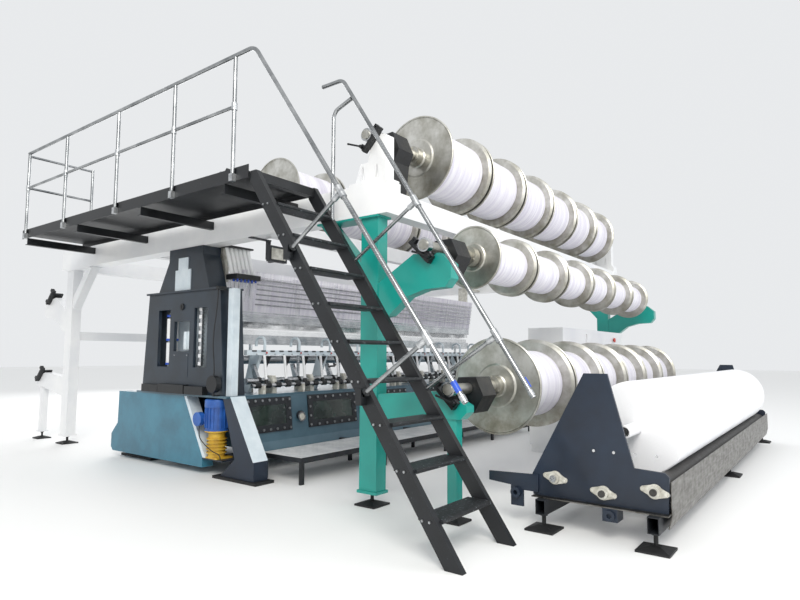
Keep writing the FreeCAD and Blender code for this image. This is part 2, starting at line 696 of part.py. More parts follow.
def pump_shelf():
    """Shelf across the recess behind the front leg, and the hanger plate that carries it."""
    shelf = box(BED_X0, RECESS_X, FACE_Y + WALL_T + 2, COVER_Y0 - 4, PUMP_Z - 12, PUMP_Z)
    back = box(RECESS_X - 12, RECESS_X, FACE_Y + WALL_T + 2, COVER_Y0 - 4, PUMP_Z, BED_TOP - DECK_PLATE_T)
    return [shelf, back]


def tilt_face(shape):
    """Lays a flat fitting on the sloping front wall of the bed."""
    copy = shape.copy()
    lean = math.degrees(math.atan2(FACE_SLOPE, BED_TOP - DECK_PLATE_T - BAND_Z))
    copy.rotate(Vector(0, FACE_Y, BED_TOP - DECK_PLATE_T), Vector(1, 0, 0), -lean)
    return copy


def window_spans():
    """Left and right edge of each window along the bed."""
    spans = [(WINDOW_X0 + i * WINDOW_PITCH, WINDOW_X0 + i * WINDOW_PITCH + WINDOW_W) for i in range(WINDOWS)]
    spans[0] = (spans[0][1] - FIRST_WINDOW_W, spans[0][1])
    return spans


def windows():
    """Inspection windows: bolted rim frames, glass panes, dome bolts and round oil sights between them."""
    frames = []
    panes = []
    bolts = []
    z0 = WINDOW_Z0
    z1 = WINDOW_Z0 + WINDOW_H - 40
    for x0, x1 in window_spans():
        outer = box(x0, x1, FACE_Y - WINDOW_T, FACE_Y, z0, z1)
        hole = box(x0 + WINDOW_RIM, x1 - WINDOW_RIM, FACE_Y - WINDOW_T - 1, FACE_Y + 1,
                   z0 + WINDOW_RIM, z1 - WINDOW_RIM)
        frames.append(tilt_face(outer.cut(hole)))
        pane = box(x0 + WINDOW_RIM, x1 - WINDOW_RIM, FACE_Y - GLASS_T, FACE_Y,
                   z0 + WINDOW_RIM, z1 - WINDOW_RIM)
        panes.append(tilt_face(pane))
        along = 7
        for i in range(along):
            x = x0 + 32 + i * (x1 - x0 - 64) / (along - 1)
            for z in (z0 + 32, z1 - 32):
                bolts.append(tilt_face(cyl_y(FACE_Y - WINDOW_T - BOLT_H, FACE_Y - WINDOW_T, x, z, BOLT_R)))
        for z in (z0 + 32 + (z1 - z0 - 64) / 3, z1 - 32 - (z1 - z0 - 64) / 3):
            for x in (x0 + 32, x1 - 32):
                bolts.append(tilt_face(cyl_y(FACE_Y - WINDOW_T - BOLT_H, FACE_Y - WINDOW_T, x, z, BOLT_R)))
        sight_x = x1 + (WINDOW_PITCH - WINDOW_W) / 2
        if sight_x < BED_X1 - SIGHT_R * 2:
            sight = cyl_y(FACE_Y - 30, FACE_Y, sight_x, (z0 + z1) / 2 - 40, SIGHT_R)
            frames.append(tilt_face(sight))
    save("window_frames", frames)
    save("window_panes", panes)
    save("dome_bolts", bolts)


# ---- tower ------------------------------------------------------------------------------
def tower_face():
    """Slotted front plate of the tower."""
    outline = [(BED_Y - TOWER_FOOT_HALF, BED_TOP), (BED_Y + TOWER_FOOT_HALF, BED_TOP),
               (BED_Y + TOWER_HEAD_HALF, TOWER_TOP), (BED_Y - TOWER_HEAD_HALF, TOWER_TOP)]
    face = plate_x(outline, TOWER_X0, TOWER_X0 + TOWER_WALL)
    slot_z0 = BED_TOP + 310
    slot_z1 = TOWER_TOP - 200
    through = (TOWER_X0 - 1, TOWER_X0 + TOWER_WALL + 1)
    for side in (-1, 1):
        near = BED_Y + side * SLOT_FROM_MIDDLE
        far = BED_Y + side * (SLOT_FROM_MIDDLE + SLOT_W)
        y0, y1 = sorted([near, far])
        face = face.cut(box(through[0], through[1], y0, y1, slot_z0, slot_z1))
    face = face.cut(box(through[0], through[1], BED_Y - 160, BED_Y + 160, slot_z0 + 190, slot_z1 - 150))
    lock_hole = cyl_x(through[0], through[1], BED_Y, LOCK_Z, LOCK_R + 1)
    return face.cut(lock_hole)


def tower():
    """Tower casing on the bed: slotted face, two leaning side walls, lid with a lip."""
    x0 = TOWER_X0 + TOWER_WALL
    x1 = TOWER_X0 + TOWER_DEPTH
    sides = []
    for side in (-1, 1):
        foot = BED_Y + side * TOWER_FOOT_HALF
        head = BED_Y + side * TOWER_HEAD_HALF
        line = [(foot, BED_TOP), (head, TOWER_TOP), (head - side * TOWER_WALL, TOWER_TOP),
                (foot - side * TOWER_WALL, BED_TOP)]
        sides.append(plate_x(line, x0, x1))
    lid = box(TOWER_X0 - 30, x1 + 3, BED_Y - TOWER_HEAD_HALF - 25, BED_Y + TOWER_HEAD_HALF + 25,
              TOWER_TOP, TOWER_TOP + 22)
    warning_plate = box(TOWER_X0 - 3, TOWER_X0, BED_Y - 150, BED_Y + 150, BED_TOP + 190, BED_TOP + 470)
    save("tower_shell", [tower_face(), lid, warning_plate] + sides)
    post = box(x0, x0 + 90, BED_Y - TOWER_FOOT_HALF - 95, BED_Y - TOWER_FOOT_HALF - 5, BED_TOP, TOWER_TOP)
    links = []
    slot_y = BED_Y - SLOT_FROM_MIDDLE - 70
    for i in range(LINKS):
        z = BED_TOP + 330 + i * LINK_PITCH
        links.append(box(x0, x0 + 30, slot_y - 30, slot_y + 30, z, z + LINK_PITCH - 0.5))
    backing = box(x1 - 60, x1 - 40, BED_Y - TOWER_HEAD_HALF + 60, BED_Y + TOWER_HEAD_HALF - 60,
                  BED_TOP, TOWER_TOP)
    save("pale_covers", [post, backing])
    save("push_rods", links)
    knob = cyl_x(TOWER_X0 - 14, TOWER_X0 + TOWER_WALL, BED_Y, LOCK_Z, LOCK_R)
    slot = box(TOWER_X0 - 15, TOWER_X0 - 9, BED_Y - 5, BED_Y + 5, LOCK_Z - 22, LOCK_Z + 22)
    save("tower_lock", [knob.cut(slot)])


def housing():
    """Upper gearbox housing between the tower and the cross beam, with its stepped light plate."""
    z0 = TOWER_TOP + 22
    outline = [(BED_Y - 500, z0), (BED_Y + 560, z0), (BED_Y + 350, BEAM_Z - 150), (BED_Y + 350, BEAM_Z),
               (BED_Y - 350, BEAM_Z), (BED_Y - 350, BEAM_Z - 100)]
    body = plate_x(outline, TOWER_X0 + 20, TOWER_X0 + TOWER_DEPTH - 30)
    x = TOWER_X0 + 20
    plates = [box(x - 12, x, BED_Y - 130, BED_Y + 190, z0, z0 + 260),
              box(x - 12, x, BED_Y - 70, BED_Y + 130, z0 + 260, BEAM_Z - 120)]
    save("tower_shell", [body])
    return plates


def deck_boxes():
    """Black control boxes and the round lamp housing on the deck in front of the tower."""
    z = BED_TOP
    x = BED_X0 + 5
    boxes = [box(x - 60, TOWER_X0, BED_Y - 180, BED_Y + 360, z, z + 105),
             box(x - 40, TOWER_X0, BED_Y + 400, BED_Y + 760, z, z + 90),
             box(x - 60, TOWER_X0, BED_Y - 560, BED_Y - 200, z, z + 95)]
    foot = box(x - 72, TOWER_X0 - 2, BED_Y - 787, BED_Y - 763, z, z + 12)
    stem = cyl_z(z + 12, z + 42, x - 60, BED_Y - 775, 10)
    lamp = cyl_x(x - 95, x - 30, BED_Y - 775, z + 40 + LAMP_R, LAMP_R)
    return boxes + [foot, stem.cut(lamp), lamp]


# ---- lubrication pump -------------------------------------------------------------------
def lube_pump():
    """Flanged pump with cooling fins and the finned motor standing on it."""
    y = MOTOR_Y
    x = MOTOR_X
    top = PUMP_Z + PUMP_H
    pump = box(x - 85, x + 125, y - 125, y + 82, PUMP_Z, PUMP_Z + 16)
    pump = pump.fuse(cyl_z(PUMP_Z + 16, top - 14, x, y, 92))
    for i in range(5):
        z = PUMP_Z + 60 + i * 38
        pump = pump.fuse(cyl_z(z, z + 12, x, y, 112))
    pump = pump.fuse(cyl_z(top - 14, top, x, y, 134))
    flange = cyl_z(top, top + 14, x, y, 138)
    body = cyl_z(top + 14, top + MOTOR_H - 90, x, y, MOTOR_R - 12)
    fins = []
    for k in range(20):
        turn = 360 / 20 * k
        fin = box(x + MOTOR_R - 20, x + MOTOR_R - 2, y - 3, y + 3, top + 30, top + MOTOR_H - 92)
        fin.rotate(Vector(x, y, 0), Vector(0, 0, 1), turn)
        fins.append(fin)
    near, out = terminal_ends()
    neck = rod(Vector(x, y, TERMINAL_Z), out, 42)
    terminal = cyl_x(out.x - 34, near.x, out.y, TERMINAL_Z, TERMINAL_R)
    motor = flange.fuse([body, neck] + fins).cut(terminal)
    cowl = cyl_z(top + MOTOR_H - 90, top + MOTOR_H, x, y, MOTOR_R)
    top_edges = [e for e in cowl.Edges if e.BoundBox.ZMin > top + MOTOR_H - 1]
    cowl = cowl.makeFillet(18, top_edges)
    save("lube_pump", [pump])
    save("lube_motor", [motor, cowl, terminal])


def terminal_ends():
    """Inner and outer end of the terminal box's middle line, beside the motor."""
    y = MOTOR_Y + 172
    return Vector(MOTOR_X - 92, y, TERMINAL_Z), Vector(MOTOR_X - 118, y, TERMINAL_Z)


# ---- knitting elements ------------------------------------------------------------------
def along_zone(count):
    span = ZONE_X1 - ZONE_X0
    return [ZONE_X0 + span * (i + 0.5) / count for i in range(count)]


def knitting_elements():
    """Rocker shafts in white bearing castings, guide bars on their hangers, needle bar and rollers."""
    y = BED_Y - ROCKER_FROM_MIDDLE
    shafts = [cyl_x(ZONE_X0, ZONE_X1, y, ROCKER_Z, ROCKER_R)]
    cranks = []
    for x in along_zone(9):
        crank_line = [(y - 55, ROCKER_Z - 40), (y + 45, ROCKER_Z - 30), (y + 120, ROCKER_Z + 190),
                      (y + 80, ROCKER_Z + 200)]
        crank = plate_x(crank_line, x - 150, x - 110).cut(cyl_x(x - 151, x - 109, y, ROCKER_Z, ROCKER_R))
        cranks.append(crank)
    save("rocker_shaft", [shafts[0].fuse(cranks)])
    bearings = []
    for x in along_zone(9):
        line = [(y - 70, BED_TOP), (y + 120, BED_TOP), (y + 60, ROCKER_Z + 60), (y - 45, ROCKER_Z + 60),
                (y - 70, ROCKER_Z)]
        bore = cyl_x(x + 39, x + 101, y, ROCKER_Z, ROCKER_R + 0.1)
        bearings.append(plate_x(line, x + 40, x + 100).cut(bore))
    save("bearing_castings", bearings)
    rail = box(ZONE_X0, ZONE_X1, RAIL_Y, RAIL_Y + 60, RAIL_Z - 30, RAIL_Z + 30)
    feet = []
    for x in along_zone(5):
        foot_line = [(RAIL_Y + 60, RAIL_Z + 30), (RAIL_Y + 60, RAIL_Z - 30), (RAIL_Y + 260, BED_TOP),
                     (RAIL_Y + 380, BED_TOP), (RAIL_Y + 220, RAIL_Z + 30)]
        feet.append(plate_x(foot_line, x - 330, x - 290))
    save("front_rail", [rail] + feet)
    necks = []
    for x in along_zone(10):
        path = [Vector(x, RAIL_Y + 30, RAIL_Z + 30), Vector(x, RAIL_Y + 30, RAIL_Z + 190),
                Vector(x, RAIL_Y + 190, RAIL_Z + 190), Vector(x, RAIL_Y + 190, RAIL_Z + 80)]
        necks.append(bent_rod(path, [70, 70], 17))
    save("front_rail", necks)


def hanging_bars():
    """Guide bars on their swing shaft under the cross beams, and the needle bar below them."""
    y = SWING_Y
    shaft = cyl_x(SWING_X0, ZONE_X1 + 90, y, SWING_Z, SWING_R)
    solids = []
    for x in along_zone(7):
        hub = ring_x(x - 35, x + 35, y, SWING_Z, SWING_R + 30, SWING_R)
        blade = plate_x([(y - 40, SWING_Z - 50), (y + 40, SWING_Z - 50), (y - 20, GUIDE_Z + 186),
                         (y - 60, GUIDE_Z + 186)], x - 25, x + 25)
        solids.append(hub.fuse(blade.cut(cyl_x(x - 26, x + 26, y, SWING_Z, SWING_R))))
    bars = []
    for i in range(GUIDE_BARS):
        bar_y = y - 190 + i * 62
        bar_z = GUIDE_Z + 60 - i * 6
        bars.append(box(ZONE_X0 + 60, ZONE_X1 - 60, bar_y, bar_y + 34, bar_z, GUIDE_Z + 170))
    carrier = box(ZONE_X0 + 60, ZONE_X1 - 60, y - 195, y + 60, GUIDE_Z + 170, GUIDE_Z + 186)
    save("guide_bars", [shaft] + solids + bars + [carrier])
    near = swing_bearing(SWING_X0 + 20, BEAM_W / 2)
    far = swing_bearing(ZONE_X1 + 20, FRAME_PITCH - BEAM_W / 2)
    save("bearing_castings", near + far)
    needle = box(ZONE_X0 + 40, ZONE_X1 - 40, y - 160, y - 90, NEEDLE_Z, NEEDLE_Z + 120)
    stems = []
    for x in along_zone(7):
        stems.append(cyl_z(BED_TOP + 40, NEEDLE_Z, x - 60, y - 125, 22))
    save("needle_bar", [needle] + stems)
    guides = []
    for x in along_zone(7):
        bush = cyl_z(BED_TOP, BED_TOP + 150, x - 60, y - 125, 46)
        guides.append(bush.cut(cyl_z(BED_TOP + 5, BED_TOP + 151, x - 60, y - 125, 22 + 0.1)))
    save("bearing_castings", guides)


def swing_bearing(x, beam_x):
    """Bearing bracket that hangs the swing shaft from a flat bar bolted to the side of a cross beam."""
    plate = box(x, x + 50, SWING_Y - 90, SWING_Y + 90, SWING_Z - 90, BEAM_Z + 20)
    bar_x = sorted([beam_x, x, x + 50])
    bar = box(bar_x[0], bar_x[2], SWING_Y - 90, SWING_Y + 90, BEAM_Z + 20, BEAM_Z + 50)
    return [plate.cut(cyl_x(x - 1, x + 51, SWING_Y, SWING_Z, SWING_R + 0.1)), bar]


def take_down():
    """Two take-down rollers behind the knitting line and their end plates."""
    rollers = []
    for y, z in ((TAKE_Y, TAKE_Z), (TAKE_Y + 2 * TAKE_R + 2, TAKE_Z)):
        barrel = cyl_x(ZONE_X0 + 70, ZONE_X1 - 70, y, z, TAKE_R)
        axle = cyl_x(ZONE_X0 + 10, ZONE_X1 - 10, y, z, 20)
        rollers.append(barrel.fuse(axle))
    save("take_down_roller_front", [rollers[0]])
    save("take_down_roller_back", [rollers[1]])
    plates = []
    for x in (ZONE_X0 + 20, ZONE_X1 - 50):
        plate = box(x, x + 30, TAKE_Y - 110, TAKE_Y + 2 * TAKE_R + 110, BED_TOP, TAKE_Z + 110)
        for y in (TAKE_Y, TAKE_Y + 2 * TAKE_R + 2):
            plate = plate.cut(cyl_x(x - 1, x + 31, y, TAKE_Z, 20 + 0.1))
        plates.append(plate)
    return plates


def actuators():
    """Fan of push rods with their cylinders, from the cross beam down to the guide bar ends."""
    barrels = []
    rods = []
    for i in range(ACTUATORS):
        x = 175 + 54 * i
        top = Vector(x, SWING_Y - 130 - 10 * i, BEAM_Z)
        knee = Vector(x + 10, SWING_Y - 230 - 10 * i, BEAM_Z - 330)
        barrels.append(rod(top, knee, 24))
        rods.append(rod(knee, Vector(x + 10, SWING_Y - 200, GUIDE_Z + 300), 9))
    block = box(145, 145 + 54 * ACTUATORS + 30, SWING_Y - 380, SWING_Y - 170, BEAM_Z - 395, BEAM_Z - 335)
    header = box(BEAM_W / 2, 145 + 54 * ACTUATORS + 30, SWING_Y - 230, SWING_Y - 95, BEAM_Z, BEAM_Z + 20)
    barrels = [solid.cut(block).cut(header) for solid in barrels]
    rods = [solid.cut(block).cut(barrel) for solid, barrel in zip(rods, barrels)]
    save("actuators", barrels)
    save("push_rods", rods)
    return [block, header]


# ---- tread plate step -------------------------------------------------------------------
def step():
    tread = box(STEP_X0, STEP_X1, STEP_Y0, STEP_Y1, STEP_Z - 6, STEP_Z)
    frame = []
    for y in (STEP_Y0, STEP_Y1 - 30):
        frame.append(box(STEP_X0, STEP_X1, y, y + 30, STEP_Z - 66, STEP_Z - 6))
    legs = 5
    for i in range(legs):
        x = STEP_X0 + i * (STEP_X1 - STEP_X0 - 50) / (legs - 1)
        frame.append(box(x, x + 50, STEP_Y0 + 30, STEP_Y1 - 30, STEP_Z - 56, STEP_Z - 6))
        wall_y = FACE_Y - FACE_SLOPE - 45
        frame.append(box(x, x + 50, STEP_Y1, wall_y, STEP_Z - 56, STEP_Z - 6))
        for y in (STEP_Y0, STEP_Y1 - 30):
            frame.append(box(x, x + 50, y, y + 30, 0, STEP_Z - 66))
    save("step_tread", [tread])
    save("step_frame", frame)


# ---- catwalk ----------------------------------------------------------------------------
def catwalk():
    """Sheet deck with folded edges, toe board on the open side and channel brackets on the cross beam."""
    deck = [box(DECK_X0, DECK_X1, DECK_Y0, DECK_Y1, DECK_TOP - DECK_T, DECK_TOP)]
    deck.append(box(DECK_X0, DECK_X0 + 6, DECK_Y0, DECK_Y1, DECK_TOP, DECK_TOP + TOE_H - DECK_FLANGE))
    deck.append(box(DECK_X0, DECK_X0 + 6, DECK_Y0, DECK_Y1, DECK_TOP - DECK_FLANGE, DECK_TOP - DECK_T))
    deck.append(box(DECK_X1 - 6, DECK_X1, DECK_Y0, DECK_Y1, DECK_TOP - DECK_FLANGE, DECK_TOP - DECK_T))
    save("platform_deck", deck)
    channels = []
    z1 = DECK_TOP - DECK_FLANGE
    z0 = z1 - CHANNEL_H
    x0 = DECK_X0
    x1 = -BEAM_W / 2
    pitch = (DECK_Y1 - DECK_Y0 - 500) / (CHANNELS - 1)
    for i in range(CHANNELS):
        y = DECK_Y0 + 330 + i * pitch
        whole = box(x0, x1, y, y + CHANNEL_W, z0, z1)
        groove = box(x0 - 1, x1 - 8, y + 8, y + CHANNEL_W + 1, z0 + 8, z1 - 8)
        channels.append(whole.cut(groove))
    save("platform_deck", channels)


def guard_rail():
    """Stainless guard rail of the catwalk with its return at the far end."""
    x = DECK_X0 - RAIL_R
    top = DECK_TOP + RAIL_H
    posts = [cyl_z(DECK_TOP - DECK_FLANGE, top - RAIL_R, x, y, RAIL_R) for y in RAIL_POST_Y]
    last_y = RAIL_POST_Y[-1]
    back_x = DECK_X1 + 60 + RAIL_R
    posts.append(cyl_z(DECK_TOP - DECK_FLANGE, top - RAIL_R, back_x - 60 + 2, last_y, RAIL_R))
    sleeves = []
    sections = []
    stops = RAIL_POST_Y
    for a, b in zip(stops[:-1], stops[1:]):
        sections.append(cyl_y(a + CLAMP_SLEEVE_R, b - CLAMP_SLEEVE_R, x, DECK_TOP + MID_RAIL_H, RAIL_R * 0.85))
    for y in stops:
        sleeves.append(cyl_z(DECK_TOP + MID_RAIL_H - 32, DECK_TOP + MID_RAIL_H + 32, x, y, CLAMP_SLEEVE_R))
        sleeves[-1] = sleeves[-1].cut(cyl_z(DECK_TOP, top, x, y, RAIL_R))
        foot = box(x - 24, DECK_X0, y - 24, y + 24, DECK_TOP - DECK_FLANGE - 8, DECK_TOP - DECK_FLANGE + 60)
        sleeves.append(foot.cut(cyl_z(DECK_TOP - DECK_FLANGE, top, x, y, RAIL_R)))
    for z in (DECK_TOP + MID_RAIL_H, top - RAIL_R * 2.2):
        sections.append(cyl_x(x + CLAMP_SLEEVE_R, back_x - 58 - RAIL_R, last_y, z, RAIL_R * 0.85))
    return posts + sections, sleeves


def stair_slope():
    return math.atan2(DECK_TOP - 20, STAIR_HEAD_Y - STAIR_FOOT_Y)


def stair_point(share):
    """Middle line of a stringer, share 0 at the floor and 1 at the deck."""
    return Vector(0, STAIR_FOOT_Y + share * (STAIR_HEAD_Y - STAIR_FOOT_Y), share * (DECK_TOP - 20))


def stairs():
    """Two stringers, nine trodden treads and the top cross member."""
    slope = stair_slope()
    lean = STRINGER_D / math.sin(slope)
    stringers = []
    for x in (STAIR_X0, STAIR_X1 - STRINGER_T):
        line = [(STAIR_FOOT_Y - lean / 2, 0), (STAIR_FOOT_Y + lean / 2, 0),
                (STAIR_HEAD_Y + lean / 2 - 60, DECK_TOP - 20 - 60 * math.tan(slope)),
                (STAIR_HEAD_Y + lean / 2 - 60, DECK_TOP - 2), (STAIR_HEAD_Y - lean / 2, DECK_TOP - 2)]
        stringers.append(plate_x(line, x, x + STRINGER_T))
    x0 = STAIR_X0 + STRINGER_T
    x1 = STAIR_X1 - STRINGER_T
    head = box(x0, x1, STAIR_HEAD_Y - 70, STAIR_HEAD_Y + 10, DECK_TOP - 92, DECK_TOP - 12)
    save("stair_stringers", stringers + [head])
    treads = []
    lugs = []
    for i in range(TREADS):
        middle = stair_point((i + 1) / (TREADS + 1))
        y0 = middle.y - TREAD_D / 2
        y1 = middle.y + TREAD_D / 2
        tread = box(x0, x1, y0, y1, middle.z - TREAD_T, middle.z)
        nose = [e for e in tread.Edges if abs(e.BoundBox.YMin - y0) < 1 and e.BoundBox.YMax < y0 + 1
                and e.BoundBox.XLength > 10]
        treads.append(tread.makeFillet(TREAD_T * 0.4, nose))
        for x in (STAIR_X0 - 9, STAIR_X1):
            lugs.append(cyl_x(x, x + 9, middle.y - 30, middle.z - TREAD_T / 2, 9))
            lugs.append(cyl_x(x, x + 9, middle.y + 30, middle.z - TREAD_T / 2, 9))
    save("stair_treads", treads)
    save("dome_bolts", lugs)


def handrails():
    """Sloping handrails on both sides, their standoffs from the stringers, clamps and blue end sleeves."""
    top = DECK_TOP + RAIL_H
    foot = Vector(0, RAIL_FOOT_Y, RAIL_FOOT_Z)
    outer_x = DECK_X0 - RAIL_R
    bend = Vector(outer_x, RAIL_POST_Y[0] - 265, top)
    end = Vector(outer_x, foot.y, foot.z)
    start = Vector(outer_x, RAIL_POST_Y[-1] + RAIL_R, top)
    outer = bent_tube([start, bend, end], 150, RAIL_R)
    inner_x = STAIR_X1 - STRINGER_T / 2
    inner_bend = Vector(inner_x, 140, top - 110)
    inner_end = Vector(inner_x, foot.y - 110, foot.z)
    inner = bent_tube([Vector(inner_x, 400, top - 110), inner_bend, inner_end], 110, RAIL_R)
    rails = []
    sleeves = []
    caps = []
    for x, rail_end, knee in ((outer_x, end, bend), (inner_x, inner_end, inner_bend)):
        direction = (rail_end - knee).normalize()
        cap = rod(rail_end + direction * 0.5, rail_end + direction * 8.5, RAIL_R)
        caps.append(cap)
        collar = rod(rail_end - direction * 45, rail_end - direction * 5, RAIL_R + 3)
        caps.append(collar.cut(rod(rail_end - direction * 50, rail_end, RAIL_R)))
    for share in (STANDOFF_LOW, STANDOFF_HIGH):
        base = stair_point(share)
        for x, knee, rail_end in ((outer_x, bend, end),
                                  (inner_x, inner_bend, inner_end)):
            line = (rail_end - knee).normalize()
            normal = Vector(0, line.z, -line.y)
            if normal.z < 0:
                normal = normal * -1
            reach = (knee - base).dot(normal)
            stringer_top = STRINGER_D / 2 + 4
            foot_point = Vector(x, base.y, base.z) + normal * stringer_top
            tip = Vector(x, base.y, base.z) + normal * (reach - CLAMP_SLEEVE_R - SEAT)
            rails.append(rod(foot_point, tip, RAIL_R * 0.85))
            along = line
            middle = Vector(x, base.y, base.z) + normal * reach
            sleeve = rod(middle - along * 55, middle + along * 55, CLAMP_SLEEVE_R)
            sleeve = sleeve.cut(rod(middle - along * 60, middle + along * 60, RAIL_R))
            socket = rod(tip - normal * 60, middle - normal * (CLAMP_SLEEVE_R - 6), CLAMP_SLEEVE_R - 3)
            socket = socket.cut(rod(middle - along * 60, middle + along * 60, CLAMP_SLEEVE_R))
            socket = socket.cut(rod(tip - normal * 61, tip, RAIL_R * 0.85))
            sleeves.append(sleeve)
            sleeves.append(socket)
            plate_mid = Vector(x, base.y, base.z) + normal * (stringer_top - 4)
            foot_plate = rod(plate_mid, plate_mid + normal * 4, RAIL_R + 12)
            sleeves.append(foot_plate)
            if x == outer_x:
                side = box(x - RAIL_R - 12, STAIR_X0, base.y - 26, base.y + 26, base.z - 60, base.z + 60)
                side = side.cut(foot_plate)
                sleeves.append(side.cut(rod(foot_point - normal * 80, tip, RAIL_R * 0.85)))
    rail_line = (inner_bend - inner_end).normalize()
    below = Vector(0, rail_line.z, -rail_line.y)
    meet = inner_bend - rail_line * 240 + below * (RAIL_R + SEAT)
    stub = bent_rod([Vector(inner_x, STUB_Y, STUB_Z), Vector(inner_x, STUB_Y, top - 400), meet], [90], RAIL_R)
    rails.append(cut_by(stub, inner))
    stringers = parts["stair_stringers"][:2]
    rails = outer + inner + [cut_by(solid, stringers) for solid in rails]
    sleeves = [cut_by(solid, stringers) for solid in sleeves]
    return rails, sleeves, caps


def cut_by(shape, cutters):
    for cutter in cutters:
        shape = shape.cut(cutter)
    return shape


# ---- cloth winder -----------------------------------------------------------------------
def winder_frame():
    """Two A-shaped side plates on two open box tubes, with the front guard and the swivel bracket."""
    base = TUBE_Z + TUBE_H
    line = [(TUBE_BACK_Y + 110, base + 8), (TUBE_BACK_Y + 115, base + 170), (-1920, 1220), (-2100, 1220),
            (-2280, base + 300), (-2490, base + 290), (-2520, base + 260), (-2505, base + 8)]
    plates = []
    strips = []
    for x in (WINDER_PLATE_X, WINDER_PLATE_X1):
        side = plate_x(line, x, x + WINDER_PLATE_T)
        for y, z, r in ((ROLLER_FRONT_Y, ROLLER_Z, ROLLER_AXLE_R), (ROLLER_BACK_Y, ROLLER_BACK_Z, ROLLER_AXLE_R),
                        (GUIDE_ROLLER_Y, GUIDE_ROLLER_Z, ROLLER_AXLE_R)):
            side = side.cut(cyl_x(x - 1, x + WINDER_PLATE_T + 1, y, z, r + FIT))
        plates.append(side)
        strips.append(box(x - 60, x + WINDER_PLATE_T + 60, -2520, TUBE_BACK_Y + 100, base, base + 8))
    for y, z in ((TUBE_BACK_Y + 78, base + 30), (-2460, base + 30)):
        plates.append(box(WINDER_PLATE_X + WINDER_PLATE_T, WINDER_PLATE_X1, y - 4, y + 4, z, z + 40))
    arm = [(TUBE_BACK_Y + 112, base + 30), (TUBE_BACK_Y + 112, base + 165), (TUBE_BACK_Y + 500, base + 150),
           (TUBE_BACK_Y + 500, base + 75), (TUBE_BACK_Y + 300, base + 60), (TUBE_BACK_Y + 300, base - 100),
           (TUBE_BACK_Y + 190, base - 100), (TUBE_BACK_Y + 190, base + 30)]
    bracket = plate_x(arm, WINDER_PLATE_X - 16, WINDER_PLATE_X)
    eye = ring_x(WINDER_PLATE_X - 52, WINDER_PLATE_X - 16, TUBE_BACK_Y + 245, base + 10, 42, 18)
    splice = box(WINDER_PLATE_X - 16, WINDER_PLATE_X, TUBE_BACK_Y + 60, TUBE_BACK_Y + 112, base + 30, base + 165)
    block = box(WINDER_PLATE_X - 60, WINDER_PLATE_X + 80, -2170, -2060, base - 95, base)
    pivot = ring_x(WINDER_PLATE_X - 80, WINDER_PLATE_X - 60, -2115, base - 50, 40, 17)
    save("winder_side_plates", plates + [bracket, eye, splice, block, pivot])
    save("winder_guard", strips)
    tubes = []
    for y in (TUBE_FRONT_Y, TUBE_BACK_Y):
        whole = box(WINDER_X0, WINDER_X1, y - TUBE_W / 2, y + TUBE_W / 2, TUBE_Z, base)
        bore = box(WINDER_X0 - 1, WINDER_X1 + 1, y - TUBE_W / 2 + TUBE_WALL, y + TUBE_W / 2 - TUBE_WALL,
                   TUBE_Z + TUBE_WALL, base - TUBE_WALL)
        tubes.append(whole.cut(bore))
    save("winder_tubes", tubes)
    guard_line = [(-2526, base + 225), (-2520, base + 225), (-2520, base - 10), (-2496, base - 100),
                  (-2502, base - 104), (-2526, base - 12)]
    save("winder_guard", [plate_x(guard_line, WINDER_PLATE_X + 25, WINDER_X1 - 150)])


def winder_rollers():
    """Two driven carrier rollers, the guide roller and their flange bearings outside both plates."""
    for name, y, z, r in (("carrier_roller_front", ROLLER_FRONT_Y, ROLLER_Z, ROLLER_R),
                          ("carrier_roller_back", ROLLER_BACK_Y, ROLLER_BACK_Z, ROLLER_BACK_R),
                          ("guide_roller", GUIDE_ROLLER_Y, GUIDE_ROLLER_Z, GUIDE_ROLLER_R)):
        x0 = WINDER_PLATE_X + WINDER_PLATE_T + 30
        barrel = cyl_x(x0, WINDER_PLATE_X1 - 30, y, z, r)
        axle = cyl_x(WINDER_PLATE_X - 62, WINDER_PLATE_X1 + WINDER_PLATE_T + 62, y, z, ROLLER_AXLE_R)
        save(name, [barrel.fuse(axle)])
    bearings = []
    for y, z in ((ROLLER_FRONT_Y, ROLLER_Z), (ROLLER_BACK_Y, ROLLER_BACK_Z), (GUIDE_ROLLER_Y, GUIDE_ROLLER_Z)):
        for x, side in ((WINDER_PLATE_X, -1), (WINDER_PLATE_X1 + WINDER_PLATE_T, 1)):
            bearings.append(flange_bearing(x, y, z, side))
    save("flange_bearings", bearings)


def flange_bearing(x, y, z, side):
    """Cast two-bolt bearing: rhombic flange, domed boss and two bolt heads."""
    x0, x1 = sorted([x, x + side * 14])
    middle = cyl_x(x0, x1, y, z, 52)
    ears = []
    for end in (-1, 1):
        ears.append(cyl_x(x0, x1, y + end * 78, z + end * 12, 20))
    rhombus = plate_x([(y - 84, z - 30), (y, z - 51), (y + 84, z - 6), (y + 84, z + 30), (y, z + 51),
                       (y - 84, z + 6)], x0, x1)
    b0, b1 = sorted([x + side * 14, x + side * 44])
    boss = cyl_x(b0, b1, y, z, 40)
    h0, h1 = sorted([x + side * 14, x + side * 26])
    heads = [cyl_x(h0, h1, y + end * 78, z + end * 12, 12) for end in (-1, 1)]
    whole = middle.fuse(ears + [rhombus, boss] + heads)
    through = sorted([x - side, x + side * 46])
    return whole.cut(cyl_x(through[0], through[1], y, z, ROLLER_AXLE_R + FIT))


